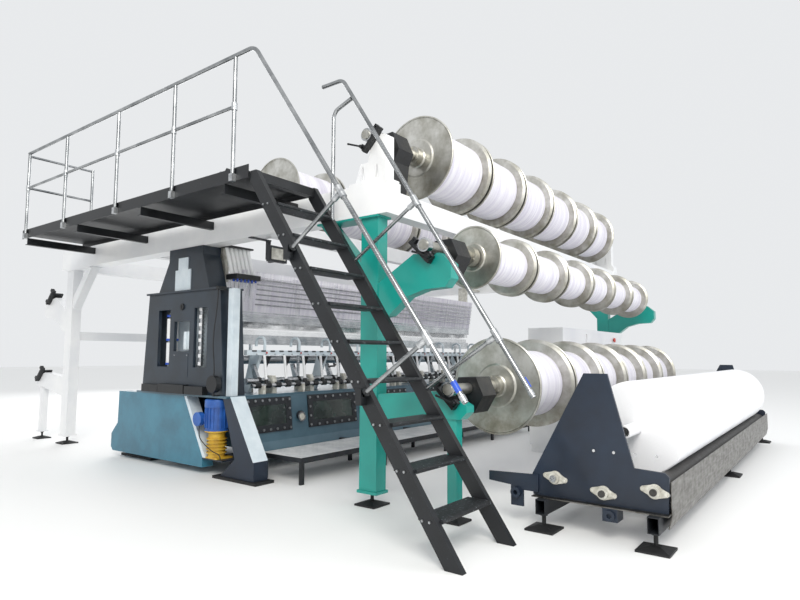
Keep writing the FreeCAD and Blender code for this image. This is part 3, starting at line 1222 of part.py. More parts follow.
def cloth_roll_centre():
    """(y, z) of the cloth roll, lying in the valley between the two carrier rollers."""
    front = Vector(0, ROLLER_FRONT_Y, ROLLER_Z)
    back = Vector(0, ROLLER_BACK_Y, ROLLER_BACK_Z)
    reach_front = CLOTH_R + ROLLER_R + SEAT
    reach_back = CLOTH_R + ROLLER_BACK_R + SEAT
    span = (back - front).Length
    along = (reach_front ** 2 - reach_back ** 2 + span ** 2) / (2 * span)
    rise = math.sqrt(reach_front ** 2 - along ** 2)
    across = (back - front).normalize()
    up = Vector(0, -across.z, across.y)
    centre = front + across * along + up * rise
    return centre.y, centre.z


def cloth_roll():
    """Wound cloth on its paper tube; the tube sticks out at both ends."""
    y, z = cloth_roll_centre()
    tube = turned_x([(CLOTH_X0 - 330, CORE_R - 9), (CLOTH_X0 - 330, CORE_R), (CLOTH_X1 + 250, CORE_R),
                     (CLOTH_X1 + 250, CORE_R - 9)], y, z)
    profile = [(CLOTH_X0, CORE_R + 0.2), (CLOTH_X0, CLOTH_R - 8), (CLOTH_X0 + 10, CLOTH_R),
               (CLOTH_X1 - 10, CLOTH_R), (CLOTH_X1, CLOTH_R - 8), (CLOTH_X1, CORE_R + 0.2)]
    save("cloth_roll", [tube, turned_x(profile, y, z)])


# ---- cabinet and touch panel ------------------------------------------------------------
def door_axis_y():
    """Hinge line of the cabinet door, level with the door's outer face."""
    return CABINET_Y1 + 2 + DOOR_T


def cabinet():
    """Two control cabinets; the far one is an open shell with a hinged door on the aisle side."""
    plinth_h = 100
    shell = box(CABINET_X0, CABINET_X1, CABINET_Y0, CABINET_Y1, plinth_h, CABINET_H)
    hollow = box(CABINET_X0 + 20, CABINET_X1 - 20, CABINET_Y0 + CABINET_WALL, CABINET_Y1 + 1,
                 plinth_h + 20, CABINET_H - 20)
    bore = cyl_y(CABINET_Y0 - 1, CABINET_Y0 + CABINET_WALL + 1, BUTTON_X, BUTTON_Z, BUTTON_STEM_R + 0.1)
    plinth = box(CABINET_X0 + 20, CABINET_X1 - 20, CABINET_Y0 + 20, CABINET_Y1 - 20, 0, plinth_h)
    inner_panel = box(CABINET_X0 + 20, CABINET_X0 + 50, CABINET_Y0 + 80, CABINET_Y1 - 60, 200, CABINET_H - 120)
    long_x0 = CABINET_X0 - LONG_CABINET_W
    long_case = box(long_x0, CABINET_X0, CABINET_Y0, CABINET_Y1, plinth_h, CABINET_H)
    long_plinth = box(long_x0 + 20, CABINET_X0 - 20, CABINET_Y0 + 20, CABINET_Y1 - 20, 0, plinth_h)
    latch_x = (long_x0 + CABINET_X0) / 2
    latch = box(latch_x - 14, latch_x + 14, CABINET_Y0 - 22, CABINET_Y0, CABINET_H - 210, CABINET_H - 60)
    save("cabinet_shell", [shell.cut(hollow).cut(bore), plinth, inner_panel, long_case, long_plinth, latch])
    y0 = CABINET_Y1 + 2
    door = box(CABINET_X0 + 1, CABINET_X1 - 1, y0, y0 + DOOR_T, plinth_h + 2, CABINET_H - 2)
    handle = box(CABINET_X0 + 40, CABINET_X0 + 66, y0 + DOOR_T, y0 + DOOR_T + 22, 1080, 1240)
    hinges = []
    for z in (plinth_h + 200, CABINET_H - 300):
        axis_x = CABINET_X1 + HINGE_R
        leaf = box(CABINET_X1 - 40, axis_x, y0 + DOOR_T, y0 + DOOR_T + 4, z + 40 + SEAT, z + 80)
        barrel = cyl_z(z + 40 + SEAT, z + 80, axis_x, door_axis_y(), HINGE_R)
        pin = cyl_z(z + 4, z + 40 + SEAT, axis_x, door_axis_y(), HINGE_R / 2)
        hinges.append(barrel.fuse([leaf, pin]))
        seat_leaf = box(CABINET_X1, CABINET_X1 + 4, CABINET_Y1 - 40, door_axis_y(), z, z + 40)
        seat_barrel = cyl_z(z, z + 40, axis_x, door_axis_y(), HINGE_R)
        bore_z = cyl_z(z - 1, z + 41, axis_x, door_axis_y(), HINGE_R / 2 + FIT)
        save("cabinet_shell", [seat_barrel.fuse(seat_leaf).cut(bore_z)])
    save("cabinet_door", [door, handle] + hinges)
    stem = cyl_y(CABINET_Y0 - 14, CABINET_Y0 + CABINET_WALL + 12, BUTTON_X, BUTTON_Z, BUTTON_STEM_R)
    mushroom = cyl_y(CABINET_Y0 - 32, CABINET_Y0 - 14, BUTTON_X, BUTTON_Z, 36)
    save("stop_button", [stem.fuse(mushroom)])


def touch_panel():
    """Operator's screen on a swivel under the cross beam, between two yokes of its hanging arm."""
    arm_x = BEAM_W / 2 + 60
    drop = box(arm_x - 20, arm_x + 20, PANEL_Y + 180, PANEL_Y + 220, PANEL_Z - 20, BEAM_Z)
    reach = box(arm_x - 20, arm_x + 20, PANEL_Y + 30, PANEL_Y + 180, PANEL_Z - 60, PANEL_Z - 20)
    hanger = box(-BEAM_W / 2, arm_x + 20, PANEL_Y + 170, PANEL_Y + 230, BEAM_Z - 12, BEAM_Z)
    drop = drop.cut(hanger)
    pin = cyl_z(PANEL_Z - 20, PANEL_Z + 20, arm_x, PANEL_Y + 50, 14)
    save("panel_arm", [drop, reach, hanger, pin])
    body = box(arm_x - 180, arm_x + 70, PANEL_Y - 40, PANEL_Y + 15, PANEL_Z - 80, PANEL_Z + 95)
    lug = box(arm_x - 30, arm_x + 30, PANEL_Y + 15, PANEL_Y + 90, PANEL_Z - 18, PANEL_Z + 22)
    lug = lug.cut(cyl_z(PANEL_Z - 40, PANEL_Z + 20 + SEAT, arm_x, PANEL_Y + 50, 14 + 0.1))
    screen = box(arm_x - 160, arm_x + 50, PANEL_Y - 43, PANEL_Y - 40, PANEL_Z - 60, PANEL_Z + 75)
    save("touch_panel", [body, lug, screen])


# ---- cables -----------------------------------------------------------------------------
def cable(points, r):
    """Cable along chosen points; each bend is as large as its two runs allow."""
    radii = []
    for last, corner, nxt in zip(points[:-2], points[1:-1], points[2:]):
        back = last - corner
        ahead = nxt - corner
        turn = math.pi - back.getAngle(ahead)
        radii.append(0.45 * min(back.Length, ahead.Length) / math.tan(turn / 2))
    print("cable bends", [round(radius) for radius in radii])
    return bent_rod(points, radii, r)


def lamp_cable():
    """Cable that climbs from the round lamp housing to the gland under the tower's lid."""
    lamp_top = BED_TOP + 40 + 2 * LAMP_R
    x = BED_X0 - 57.5
    gland_y = BED_Y - TOWER_HEAD_HALF - 43
    gland_z = TOWER_TOP - 22
    points = [Vector(x, 2075, lamp_top), Vector(x, 2075, lamp_top + 110), Vector(x - 8, 2084, 1350),
              Vector(x - 12, 2092, 1480), Vector(x - 6, 2090, 1625), Vector(x + 4, 2078, 1770),
              Vector(x + 12, 2068, 1900), Vector(x + 18, gland_y, 1998), Vector(x + 18, gland_y, gland_z)]
    save("lamp_cable", [cable(points, LAMP_CABLE_R)])
    gland = box(x, TOWER_X0 + TOWER_WALL, gland_y - 18, gland_y + 18, gland_z, TOWER_TOP + 22)
    return [gland]


def motor_cable():
    """Lead from the terminal box across the front of the pump to the shelf."""
    x = terminal_ends()[1].x
    y = terminal_ends()[1].y
    z = TERMINAL_Z - TERMINAL_R
    points = [Vector(x, y, z), Vector(x, y, z - 60), Vector(x - 30, y - 50, z - 115), Vector(x - 38, y - 125, z - 165),
              Vector(x - 30, y - 205, z - 215), Vector(x - 8, y - 285, z - 265), Vector(x + 40, y - 350, PUMP_Z + 60),
              Vector(x + 40, y - 352, PUMP_Z)]
    save("motor_cable", [cable(points, MOTOR_CABLE_R)])


def assemble():
    end_frames()
    top_beams()
    beam_stands()
    floor_pads()
    clamps_and_bearings()
    lever("lever_top", TOP_ROW_Y, TOP_ROW_Z, TOP_SLANT)
    lever("lever_mid", MID_ROW_Y, MID_ROW_Z, LOW_SLANT)
    lever("lever_low", LOW_ROW_Y, LOW_ROW_Z, LOW_SLANT)
    beam_row("top_row", TOP_ROW_Y, TOP_ROW_Z, BIG_FLANGE_R, TOP_YARN_R)
    beam_row("inner_row", INNER_ROW_Y, TOP_ROW_Z, BIG_FLANGE_R, TOP_YARN_R)
    beam_row("mid_row", MID_ROW_Y, MID_ROW_Z, SMALL_FLANGE_R, MID_YARN_R)
    beam_row("low_row", LOW_ROW_Y, LOW_ROW_Z, BIG_FLANGE_R, LOW_YARN_R)
    save("drives", letoff_drives() + far_drive() + deck_boxes() + actuators() + lamp_cable())
    motor_cable()
    bed_base()
    bed_legs()
    windows()
    tower()
    save("pale_covers", housing() + take_down())
    lube_pump()
    knitting_elements()
    hanging_bars()
    step()
    catwalk()
    stairs()
    guard, guard_sleeves = guard_rail()
    rails, sleeves, caps = handrails()
    save("handrails", guard + rails)
    save("rail_clamps", guard_sleeves + sleeves)
    save("rail_clamps", caps)
    winder_frame()
    winder_rollers()
    cloth_roll()
    cabinet()
    touch_panel()


def export():
    """Moves the machine so that its middle stands over the origin and writes one file per node."""
    everything = Part.makeCompound([solid for solids in parts.values() for solid in solids])
    bound = everything.optimalBoundingBox(False, False)
    shift = Vector(-(bound.XMin + bound.XMax) / 2, -(bound.YMin + bound.YMax) / 2, -bound.ZMin)
    os.makedirs("parts", exist_ok=True)
    for name, solids in parts.items():
        group = Part.makeCompound(solids)
        group.translate(shift)
        group.exportStep("parts/" + name + ".step")
    print("size", [round(v, 2) for v in (bound.XLength, bound.YLength, bound.ZLength)])
    print("shift", [round(v, 4) for v in (shift.x, shift.y, shift.z)])
    return shift


assemble()
SHIFT = export()
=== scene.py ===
import bpy
import math
from mathutils import Matrix, Vector


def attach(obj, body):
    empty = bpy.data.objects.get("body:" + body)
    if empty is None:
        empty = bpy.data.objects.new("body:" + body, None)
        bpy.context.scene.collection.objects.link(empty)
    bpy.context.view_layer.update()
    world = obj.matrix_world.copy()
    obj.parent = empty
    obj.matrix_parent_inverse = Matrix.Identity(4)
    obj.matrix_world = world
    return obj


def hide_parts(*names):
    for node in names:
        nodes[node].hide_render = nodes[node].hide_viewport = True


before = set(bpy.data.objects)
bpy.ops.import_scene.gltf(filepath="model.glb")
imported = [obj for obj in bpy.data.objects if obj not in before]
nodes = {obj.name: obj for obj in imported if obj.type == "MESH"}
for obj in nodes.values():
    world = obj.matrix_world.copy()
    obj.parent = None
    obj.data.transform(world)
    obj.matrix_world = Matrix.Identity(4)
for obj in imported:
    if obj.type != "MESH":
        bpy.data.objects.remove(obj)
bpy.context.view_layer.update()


# Lengths below are millimetres from the near end frame's middle plane, the front posts and the floor.
middleX, middleY = 2945.0, 2227.994    # the middle of the machine's floor rectangle, which is the frame's origin


def place(x, y, z):
    return Vector(((x - middleX) / 1000, (y - middleY) / 1000, z / 1000))


def hexColor(text):
    channels = [int(text[i:i + 2], 16) / 255 for i in (1, 3, 5)]
    return [c / 12.92 if c <= 0.04045 else ((c + 0.055) / 1.055) ** 2.4 for c in channels] + [1.0]


def addNode(tree, kind, inputs=None, links=None, **settings):
    node = tree.nodes.new(kind)
    for key, value in settings.items():
        setattr(node, key, value)
    for key, value in (inputs or {}).items():
        node.inputs[key].default_value = value
    for key, socket in (links or {}).items():
        tree.links.new(socket, node.inputs[key])
    return node


print("stage: camera and light")
view = {"eye": (-4211.3, -3547.0, 1354.7), "ahead": (0.7979, 0.5969, 0.0840), "lens": 26.46,
        "right": (0.5987, -0.8009, 0.0042), "up": (-0.0698, -0.0469, 0.9964), "shift": (-0.0045, 0.0069)}
cameraData = bpy.data.cameras.new("camera")
cameraData.lens = view["lens"]
cameraData.shift_x, cameraData.shift_y = view["shift"]
cameraData.clip_end = 200
camera = bpy.data.objects.new("camera", cameraData)
turn = Matrix((view["right"], view["up"], [-v for v in view["ahead"]])).transposed()
camera.matrix_world = Matrix.Translation(place(*view["eye"])) @ turn.to_4x4()
bpy.context.collection.objects.link(camera)
bpy.context.scene.camera = camera
bpy.context.scene.view_settings.view_transform = "Standard"

lamps = {"key": ((-11.0, -9.0, 9.0), 6.0, 1200, "#FFFDF8"),
         "fill": ((1.0, -14.0, 5.0), 8.0, 380, "#F4F8FF"),
         "back": ((6.0, 12.0, 8.0), 9.0, 700, "#FFFFFF")}
for name, (spot, size, power, tint) in lamps.items():
    lampData = bpy.data.lights.new(name, "AREA")
    lampData.size = size
    lampData.energy = power
    lampData.color = hexColor(tint)[:3]
    lamp = bpy.data.objects.new(name, lampData)
    lamp.location = spot
    lamp.rotation_euler = (Vector((0, 0, 1.5)) - Vector(spot)).to_track_quat("-Z", "Y").to_euler()
    bpy.context.collection.objects.link(lamp)
world = bpy.data.worlds.new("studio")
world.use_nodes = True
world.node_tree.nodes["Background"].inputs["Color"].default_value = hexColor("#F6F8FA")
world.node_tree.nodes["Background"].inputs["Strength"].default_value = 0.88
bpy.context.scene.world = world


print("stage: materials")


def newMaterial(name):
    material = bpy.data.materials.new(name)
    material.use_nodes = True
    tree = material.node_tree
    tree.nodes.clear()
    shader = addNode(tree, "ShaderNodeBsdfPrincipled")
    addNode(tree, "ShaderNodeOutputMaterial", links={"Surface": shader.outputs["BSDF"]})
    return material, tree, shader


# Two-tone cloud of colour, which the paints, metals, castings and plastics share.
def cloudColor(tree, point, settings):
    noise = addNode(tree, "ShaderNodeTexNoise", {"Scale": 1000 / settings["cloudMm"], "Detail": 5.0,
                                                "Roughness": 0.6}, {"Vector": point})
    ramp = addNode(tree, "ShaderNodeValToRGB", links={"Fac": noise.outputs["Fac"]})
    ramp.color_ramp.elements[0].position = settings.get("low", 0.35)
    ramp.color_ramp.elements[1].position = settings.get("high", 0.65)
    ramp.color_ramp.elements[0].color = hexColor(settings["shade"])
    ramp.color_ramp.elements[1].color = hexColor(settings["base"])
    return ramp.outputs["Color"], noise.outputs["Fac"]


# A wave texture repeats every pi / 10 metres divided by its scale.
def waveScale(pitchMm):
    return 100 * math.pi / pitchMm


# Sprayed enamel: soft gloss, duller with dust towards the floor, and rubbed spots showing the coat below.
# Its orange peel is too fine to see, so it is drawn as coarse as peelMm.
def enamelPaint(name, settings):
    material, tree, shader = newMaterial(name)
    point = addNode(tree, "ShaderNodeTexCoord").outputs["Object"]
    color, cloud = cloudColor(tree, point, settings)
    rub = addNode(tree, "ShaderNodeTexNoise", {"Scale": 1000 / settings["rubMm"], "Detail": 8.0,
                                              "Roughness": 0.75}, {"Vector": point})
    rubMask = addNode(tree, "ShaderNodeMapRange", {"From Min": settings["rubFrom"],
                                                   "From Max": settings["rubFrom"] + 0.05},
                      {"Value": rub.outputs["Fac"]})
    mixed = addNode(tree, "ShaderNodeMix", links={"Factor": rubMask.outputs["Result"]}, data_type="RGBA")
    tree.links.new(color, mixed.inputs[6])
    mixed.inputs[7].default_value = hexColor(settings["rubColor"])
    tree.links.new(mixed.outputs[2], shader.inputs["Base Color"])
    height = addNode(tree, "ShaderNodeSeparateXYZ", links={"Vector": point})
    dustTop, dustRough = 0.7, 0.16    # metres above the floor, and what the dust adds at the floor
    dust = addNode(tree, "ShaderNodeMapRange", {"From Min": 0.0, "From Max": dustTop,
                                                "To Min": settings["rough"] + dustRough,
                                                "To Max": settings["rough"]}, {"Value": height.outputs["Z"]})
    rough = addNode(tree, "ShaderNodeMath", {1: 0.18}, {0: cloud}, operation="MULTIPLY")
    total = addNode(tree, "ShaderNodeMath", links={0: dust.outputs["Result"], 1: rough.outputs["Value"]},
                    operation="ADD")
    tree.links.new(total.outputs["Value"], shader.inputs["Roughness"])
    peel = addNode(tree, "ShaderNodeTexNoise", {"Scale": 1000 / settings["peelMm"], "Detail": 2.0},
                   {"Vector": point})
    bump = addNode(tree, "ShaderNodeBump", {"Strength": settings["peel"], "Distance": 0.002},
                   {"Height": peel.outputs["Fac"]})
    tree.links.new(bump.outputs["Normal"], shader.inputs["Normal"])
    shader.inputs["Coat Weight"].default_value = settings["coat"]
    shader.inputs["Coat Roughness"].default_value = 0.12
    return material


# Drawn, ground or brushed metal: fine streaks along one axis with blotches of handling marks.
def streakedMetal(name, settings):
    material, tree, shader = newMaterial(name)
    point = addNode(tree, "ShaderNodeTexCoord").outputs["Object"]
    fine, coarse = 1000 / settings["streakMm"], 1000 / settings["runMm"]
    scale = [coarse if axis == settings["along"] else fine for axis in "xyz"]
    stretched = addNode(tree, "ShaderNodeMapping", {"Scale": scale}, {"Vector": point})
    streak = addNode(tree, "ShaderNodeTexNoise", {"Scale": 1.0, "Detail": 3.0},
                     {"Vector": stretched.outputs["Vector"]})
    mixed = addNode(tree, "ShaderNodeMix", {"Factor": 0.35}, data_type="RGBA", blend_type="MULTIPLY")
    tree.links.new(cloudColor(tree, point, settings)[0], mixed.inputs[6])
    tree.links.new(streak.outputs["Fac"], mixed.inputs[7])
    tree.links.new(mixed.outputs[2], shader.inputs["Base Color"])
    rough = addNode(tree, "ShaderNodeMapRange", {"From Min": 0.3, "From Max": 0.7,
                                                 "To Min": settings["rough"] - 0.06,
                                                 "To Max": settings["rough"] + 0.12},
                    {"Value": streak.outputs["Fac"]})
    tree.links.new(rough.outputs["Result"], shader.inputs["Roughness"])
    bump = addNode(tree, "ShaderNodeBump", {"Strength": settings["groove"], "Distance": 0.001},
                   {"Height": streak.outputs["Fac"]})
    tree.links.new(bump.outputs["Normal"], shader.inputs["Normal"])
    shader.inputs["Metallic"].default_value = settings.get("metal", 1.0)
    return material


# Cast and spun aluminium: lathe rings round the shaft, oxide clouds, and low on the flange a painted shade and
# reflection in dark olive, broken into blots like oil stains.
def spunAluminium(name, settings, axisY, axisZ):
    material, tree, shader = newMaterial(name)
    point = addNode(tree, "ShaderNodeTexCoord").outputs["Object"]
    centre = place(0, axisY, axisZ)
    moved = addNode(tree, "ShaderNodeMapping", {"Location": (0, -centre.y, -centre.z)}, {"Vector": point})
    rings = addNode(tree, "ShaderNodeTexWave", {"Scale": waveScale(settings["ringMm"]),
                                               "Distortion": 1.5, "Detail": 2.0, "Detail Scale": 2.0},
                    {"Vector": moved.outputs["Vector"]}, wave_type="RINGS", rings_direction="X")
    split = addNode(tree, "ShaderNodeSeparateXYZ", links={"Vector": moved.outputs["Vector"]})
    stainAndShadeLow, stainAndShadeHigh = -0.40, 0.22    # metres from the shaft: full painted shade and stain below, none above
    # painted shade and reflection: the flange darkens to dark olive towards its bottom, broken up by the blots
    low = addNode(tree, "ShaderNodeMapRange", {"From Min": stainAndShadeLow, "From Max": stainAndShadeHigh, "To Min": 1.0,
                                               "To Max": 0.0}, {"Value": split.outputs["Z"]})
    blot = addNode(tree, "ShaderNodeTexNoise", {"Scale": 1000 / settings["blotMm"], "Detail": 6.0,
                                               "Roughness": 0.65}, {"Vector": point})
    stainAndShade = addNode(tree, "ShaderNodeMath", links={0: low.outputs["Result"], 1: blot.outputs["Fac"]},
                    operation="MULTIPLY")
    mixed = addNode(tree, "ShaderNodeMix", links={"Factor": stainAndShade.outputs["Value"]}, data_type="RGBA")
    tree.links.new(cloudColor(tree, point, settings)[0], mixed.inputs[6])
    mixed.inputs[7].default_value = hexColor(settings["stainAndShade"])
    tree.links.new(mixed.outputs[2], shader.inputs["Base Color"])
    rough = addNode(tree, "ShaderNodeMapRange", {"From Min": 0.3, "From Max": 0.7, "To Min": settings["rough"],
                                                 "To Max": settings["rough"] + 0.18},
                    {"Value": blot.outputs["Fac"]})
    tree.links.new(rough.outputs["Result"], shader.inputs["Roughness"])
    bump = addNode(tree, "ShaderNodeBump", {"Strength": 0.12, "Distance": 0.001},
                   {"Height": rings.outputs["Fac"]})
    tree.links.new(bump.outputs["Normal"], shader.inputs["Normal"])
    shader.inputs["Metallic"].default_value = 0.92
    return material


# Wound filament yarn: ends lie side by side round the beam, drawn coarser than they are so that they show.
def woundYarn(name, settings):
    material, tree, shader = newMaterial(name)
    point = addNode(tree, "ShaderNodeTexCoord").outputs["Object"]
    ends = addNode(tree, "ShaderNodeTexWave", {"Scale": waveScale(settings["endMm"]),
                                              "Distortion": 0.6, "Detail": 2.0, "Detail Scale": 3.0},
                   {"Vector": point}, bands_direction="X")
    bands = addNode(tree, "ShaderNodeMapping", {"Scale": (1000 / settings["bandMm"], 0.4, 0.4)},
                    {"Vector": point})
    band = addNode(tree, "ShaderNodeTexNoise", {"Scale": 1.0, "Detail": 4.0},
                   {"Vector": bands.outputs["Vector"]})
    ramp = addNode(tree, "ShaderNodeValToRGB", links={"Fac": band.outputs["Fac"]})
    ramp.color_ramp.elements[0].position = 0.38
    ramp.color_ramp.elements[1].position = 0.62
    ramp.color_ramp.elements[0].color = hexColor(settings["shade"])
    ramp.color_ramp.elements[1].color = hexColor(settings["base"])
    # painted shade: the grooves between the wound ends darken the colour a little
    groove = addNode(tree, "ShaderNodeMix", {"Factor": 0.10}, data_type="RGBA", blend_type="MULTIPLY")
    tree.links.new(ramp.outputs["Color"], groove.inputs[6])
    tree.links.new(ends.outputs["Color"], groove.inputs[7])
    tree.links.new(groove.outputs[2], shader.inputs["Base Color"])
    bump = addNode(tree, "ShaderNodeBump", {"Strength": 0.35, "Distance": 0.001},
                   {"Height": ends.outputs["Fac"]})
    tree.links.new(bump.outputs["Normal"], shader.inputs["Normal"])
    shader.inputs["Roughness"].default_value = 0.62
    shader.inputs["Sheen Weight"].default_value = 0.25
    shader.inputs["Sheen Roughness"].default_value = 0.4
    return material


# Rubber, painted casting or moulded plastic: matt skin with a fine grain and an uneven gloss.
def grainedSkin(name, settings):
    material, tree, shader = newMaterial(name)
    point = addNode(tree, "ShaderNodeTexCoord").outputs["Object"]
    color, cloud = cloudColor(tree, point, settings)
    tree.links.new(color, shader.inputs["Base Color"])
    grain = addNode(tree, "ShaderNodeTexNoise", {"Scale": 1000 / settings["grainMm"], "Detail": 4.0},
                    {"Vector": point})
    bump = addNode(tree, "ShaderNodeBump", {"Strength": settings["grain"], "Distance": 0.002},
                   {"Height": grain.outputs["Fac"]})
    tree.links.new(bump.outputs["Normal"], shader.inputs["Normal"])
    rough = addNode(tree, "ShaderNodeMapRange", {"From Min": 0.3, "From Max": 0.7,
                                                 "To Min": settings["rough"] - 0.1,
                                                 "To Max": settings["rough"] + 0.1}, {"Value": cloud})
    tree.links.new(rough.outputs["Result"], shader.inputs["Roughness"])
    return material


paints = {
    # two-pack machine enamel, even and softly glossy
    "tealEnamel": {"base": "#159C90", "shade": "#0E8A80", "cloudMm": 900, "rubColor": "#0C6F67", "rubMm": 60,
                   "rubFrom": 0.72, "rough": 0.26, "peelMm": 9, "peel": 0.05, "coat": 0.35},
    "whiteEnamel": {"base": "#F1F1F0", "shade": "#E3E4E6", "cloudMm": 800, "rubColor": "#CFCBC4", "rubMm": 55,
                    "rubFrom": 0.74, "rough": 0.30, "peelMm": 9, "peel": 0.05, "coat": 0.3},
    "bedEnamel": {"base": "#4E6B79", "shade": "#3C5866", "cloudMm": 500, "rubColor": "#6B7884", "rubMm": 40,
                  "rubFrom": 0.70, "rough": 0.32, "peelMm": 8, "peel": 0.06, "coat": 0.25},
    "coverEnamel": {"base": "#3A7A90", "shade": "#2C6378", "cloudMm": 420, "rubColor": "#5B8EA0", "rubMm": 40,
                    "rubFrom": 0.72, "rough": 0.26, "peelMm": 8, "peel": 0.05, "coat": 0.35},
    "slateEnamel": {"base": "#26323E", "shade": "#18222C", "cloudMm": 350, "rubColor": "#4D5B68", "rubMm": 40,
                    "rubFrom": 0.70, "rough": 0.34, "peelMm": 8, "peel": 0.06, "coat": 0.2},
    "navyEnamel": {"base": "#18273A", "shade": "#101B2A", "cloudMm": 420, "rubColor": "#3A4C64", "rubMm": 45,
                   "rubFrom": 0.70, "rough": 0.34, "peelMm": 8, "peel": 0.06, "coat": 0.2},
    "paleEnamel": {"base": "#DDE6EB", "shade": "#C2CFD7", "cloudMm": 300, "rubColor": "#8F9BA5", "rubMm": 40,
                   "rubFrom": 0.72, "rough": 0.34, "peelMm": 8, "peel": 0.06, "coat": 0.2},
    # walked-on dark paint, rubbed to grey primer in spots
    "deckPaint": {"base": "#15181C", "shade": "#0B0D10", "cloudMm": 260, "rubColor": "#4A5056", "rubMm": 28,
                  "rubFrom": 0.64, "rough": 0.34, "peelMm": 6, "peel": 0.12, "coat": 0.05},
    "treadPaint": {"base": "#202327", "shade": "#0C0E10", "cloudMm": 90, "rubColor": "#70777C", "rubMm": 18,
                   "rubFrom": 0.58, "rough": 0.45, "peelMm": 5, "peel": 0.2, "coat": 0.0},
    "motorEnamel": {"base": "#2A63B4", "shade": "#1C4A92", "cloudMm": 160, "rubColor": "#4A7DC4", "rubMm": 25,
                    "rubFrom": 0.72, "rough": 0.34, "peelMm": 6, "peel": 0.1, "coat": 0.2},
    "pumpEnamel": {"base": "#D8B23A", "shade": "#B48B22", "cloudMm": 120, "rubColor": "#7D6420", "rubMm": 22,
                   "rubFrom": 0.66, "rough": 0.36, "peelMm": 6, "peel": 0.1, "coat": 0.15},
    "frameBlack": {"base": "#1B2026", "shade": "#101318", "cloudMm": 300, "rubColor": "#474E55", "rubMm": 35,
                   "rubFrom": 0.68, "rough": 0.40, "peelMm": 7, "peel": 0.1, "coat": 0.1},
    "blueCap": {"base": "#2456C8", "shade": "#1B46AC", "cloudMm": 60, "rubColor": "#3F6BD2", "rubMm": 20,
                "rubFrom": 0.74, "rough": 0.3, "peelMm": 5, "peel": 0.05, "coat": 0.2},
    "redTag": {"base": "#C22A1E", "shade": "#A11F16", "cloudMm": 40, "rubColor": "#8C1A12", "rubMm": 16,
               "rubFrom": 0.74, "rough": 0.35, "peelMm": 5, "peel": 0.05, "coat": 0.1},
}
metals = {
    # polished stainless tube, drawn lengthwise
    "stainlessTube": {"base": "#C3C5C6", "shade": "#8E9193", "cloudMm": 220, "streakMm": 4, "runMm": 300,
                      "along": "y", "rough": 0.24, "groove": 0.04},
    "groundShaft": {"base": "#E4E6E8", "shade": "#BFC3C6", "cloudMm": 180, "streakMm": 5, "runMm": 200,
                    "along": "x", "rough": 0.22, "groove": 0.05},
    "bearingChrome": {"base": "#E6E7E8", "shade": "#B9BBBD", "cloudMm": 60, "streakMm": 3, "runMm": 60,
                      "along": "x", "rough": 0.16, "groove": 0.04},
    "zincPlate": {"base": "#C9CBCC", "shade": "#94979A", "cloudMm": 30, "streakMm": 3, "runMm": 12,
                  "along": "z", "rough": 0.28, "groove": 0.08},
    # galvanised sheet with grey and rusty water marks
    "guardSheet": {"base": "#8D8B86", "shade": "#4F4A45", "cloudMm": 95, "streakMm": 22, "runMm": 160,
                   "along": "x", "rough": 0.36, "groove": 0.12, "low": 0.3, "high": 0.62},
    "treadPlate": {"base": "#EDEEEE", "shade": "#CDD0D2", "cloudMm": 240, "streakMm": 6, "runMm": 90,
                   "along": "x", "rough": 0.5, "groove": 0.06, "metal": 0.1},
}
skins = {
    "blackCasting": {"base": "#1D1F22", "shade": "#0C0D0F", "cloudMm": 70, "grainMm": 3, "grain": 0.25,
                     "rough": 0.46},
    "creamCasting": {"base": "#D7D5CC", "shade": "#A9A69B", "cloudMm": 60, "grainMm": 3, "grain": 0.2,
                     "rough": 0.48},
    "footRubber": {"base": "#191A1C", "shade": "#0D0E0F", "cloudMm": 80, "grainMm": 3, "grain": 0.2,
                   "rough": 0.62},
    "frictionRubber": {"base": "#3A3836", "shade": "#141414", "cloudMm": 55, "grainMm": 6, "grain": 0.35,
                       "rough": 0.56, "low": 0.3, "high": 0.62},
    "cableSheath": {"base": "#17181A", "shade": "#0B0B0C", "cloudMm": 40, "grainMm": 2, "grain": 0.1,
                    "rough": 0.5},
    "buttonPlastic": {"base": "#D83A1C", "shade": "#B92812", "cloudMm": 30, "grainMm": 2, "grain": 0.04,
                      "rough": 0.28},
    "panelPlastic": {"base": "#23262A", "shade": "#191B1E", "cloudMm": 90, "grainMm": 2, "grain": 0.08,
                     "rough": 0.34},
}
finish = {name: enamelPaint(name, settings) for name, settings in paints.items()}
finish.update({name: streakedMetal(name, settings) for name, settings in metals.items()})
finish.update({name: grainedSkin(name, settings) for name, settings in skins.items()})
# the dark olive below is painted shade and reflection on the flanges, mixed with stain-like blots
flange = {"base": "#DAD9D4", "shade": "#A9A79D", "stainAndShade": "#5C5640", "cloudMm": 190, "ringMm": 8.796,
          "blotMm": 120, "rough": 0.30}
rowAxes = {"top_row": (-40, 3420), "inner_row": (2190, 3420), "mid_row": (-700, 2300), "low_row": (-945, 1075)}
for rowName, (axisY, axisZ) in rowAxes.items():
    finish[rowName] = spunAluminium(rowName + "SpunAluminium", flange, axisY, axisZ)
yarn = {"base": "#F3F1F6", "shade": "#DCD8E4", "endMm": 4.398, "bandMm": 45}
finish["filamentYarn"] = woundYarn("filamentYarn", yarn)
cloth = {"base": "#FBFBFC", "shade": "#F1F1F4", "endMm": 10.053, "bandMm": 260}
finish["rolledCloth"] = woundYarn("rolledCloth", cloth)

# dark green glass with oil mist behind it
glassLook = {"base": "#3B4A44", "shade": "#121A18", "cloudMm": 260, "low": 0.3, "high": 0.75}
glass, glassTree, glassShader = newMaterial("oilBathGlass")
glassPoint = addNode(glassTree, "ShaderNodeTexCoord").outputs["Object"]
glassTree.links.new(cloudColor(glassTree, glassPoint, glassLook)[0], glassShader.inputs["Base Color"])
glassShader.inputs["Roughness"].default_value = 0.06
glassShader.inputs["Coat Weight"].default_value = 0.6
finish["oilBathGlass"] = glass

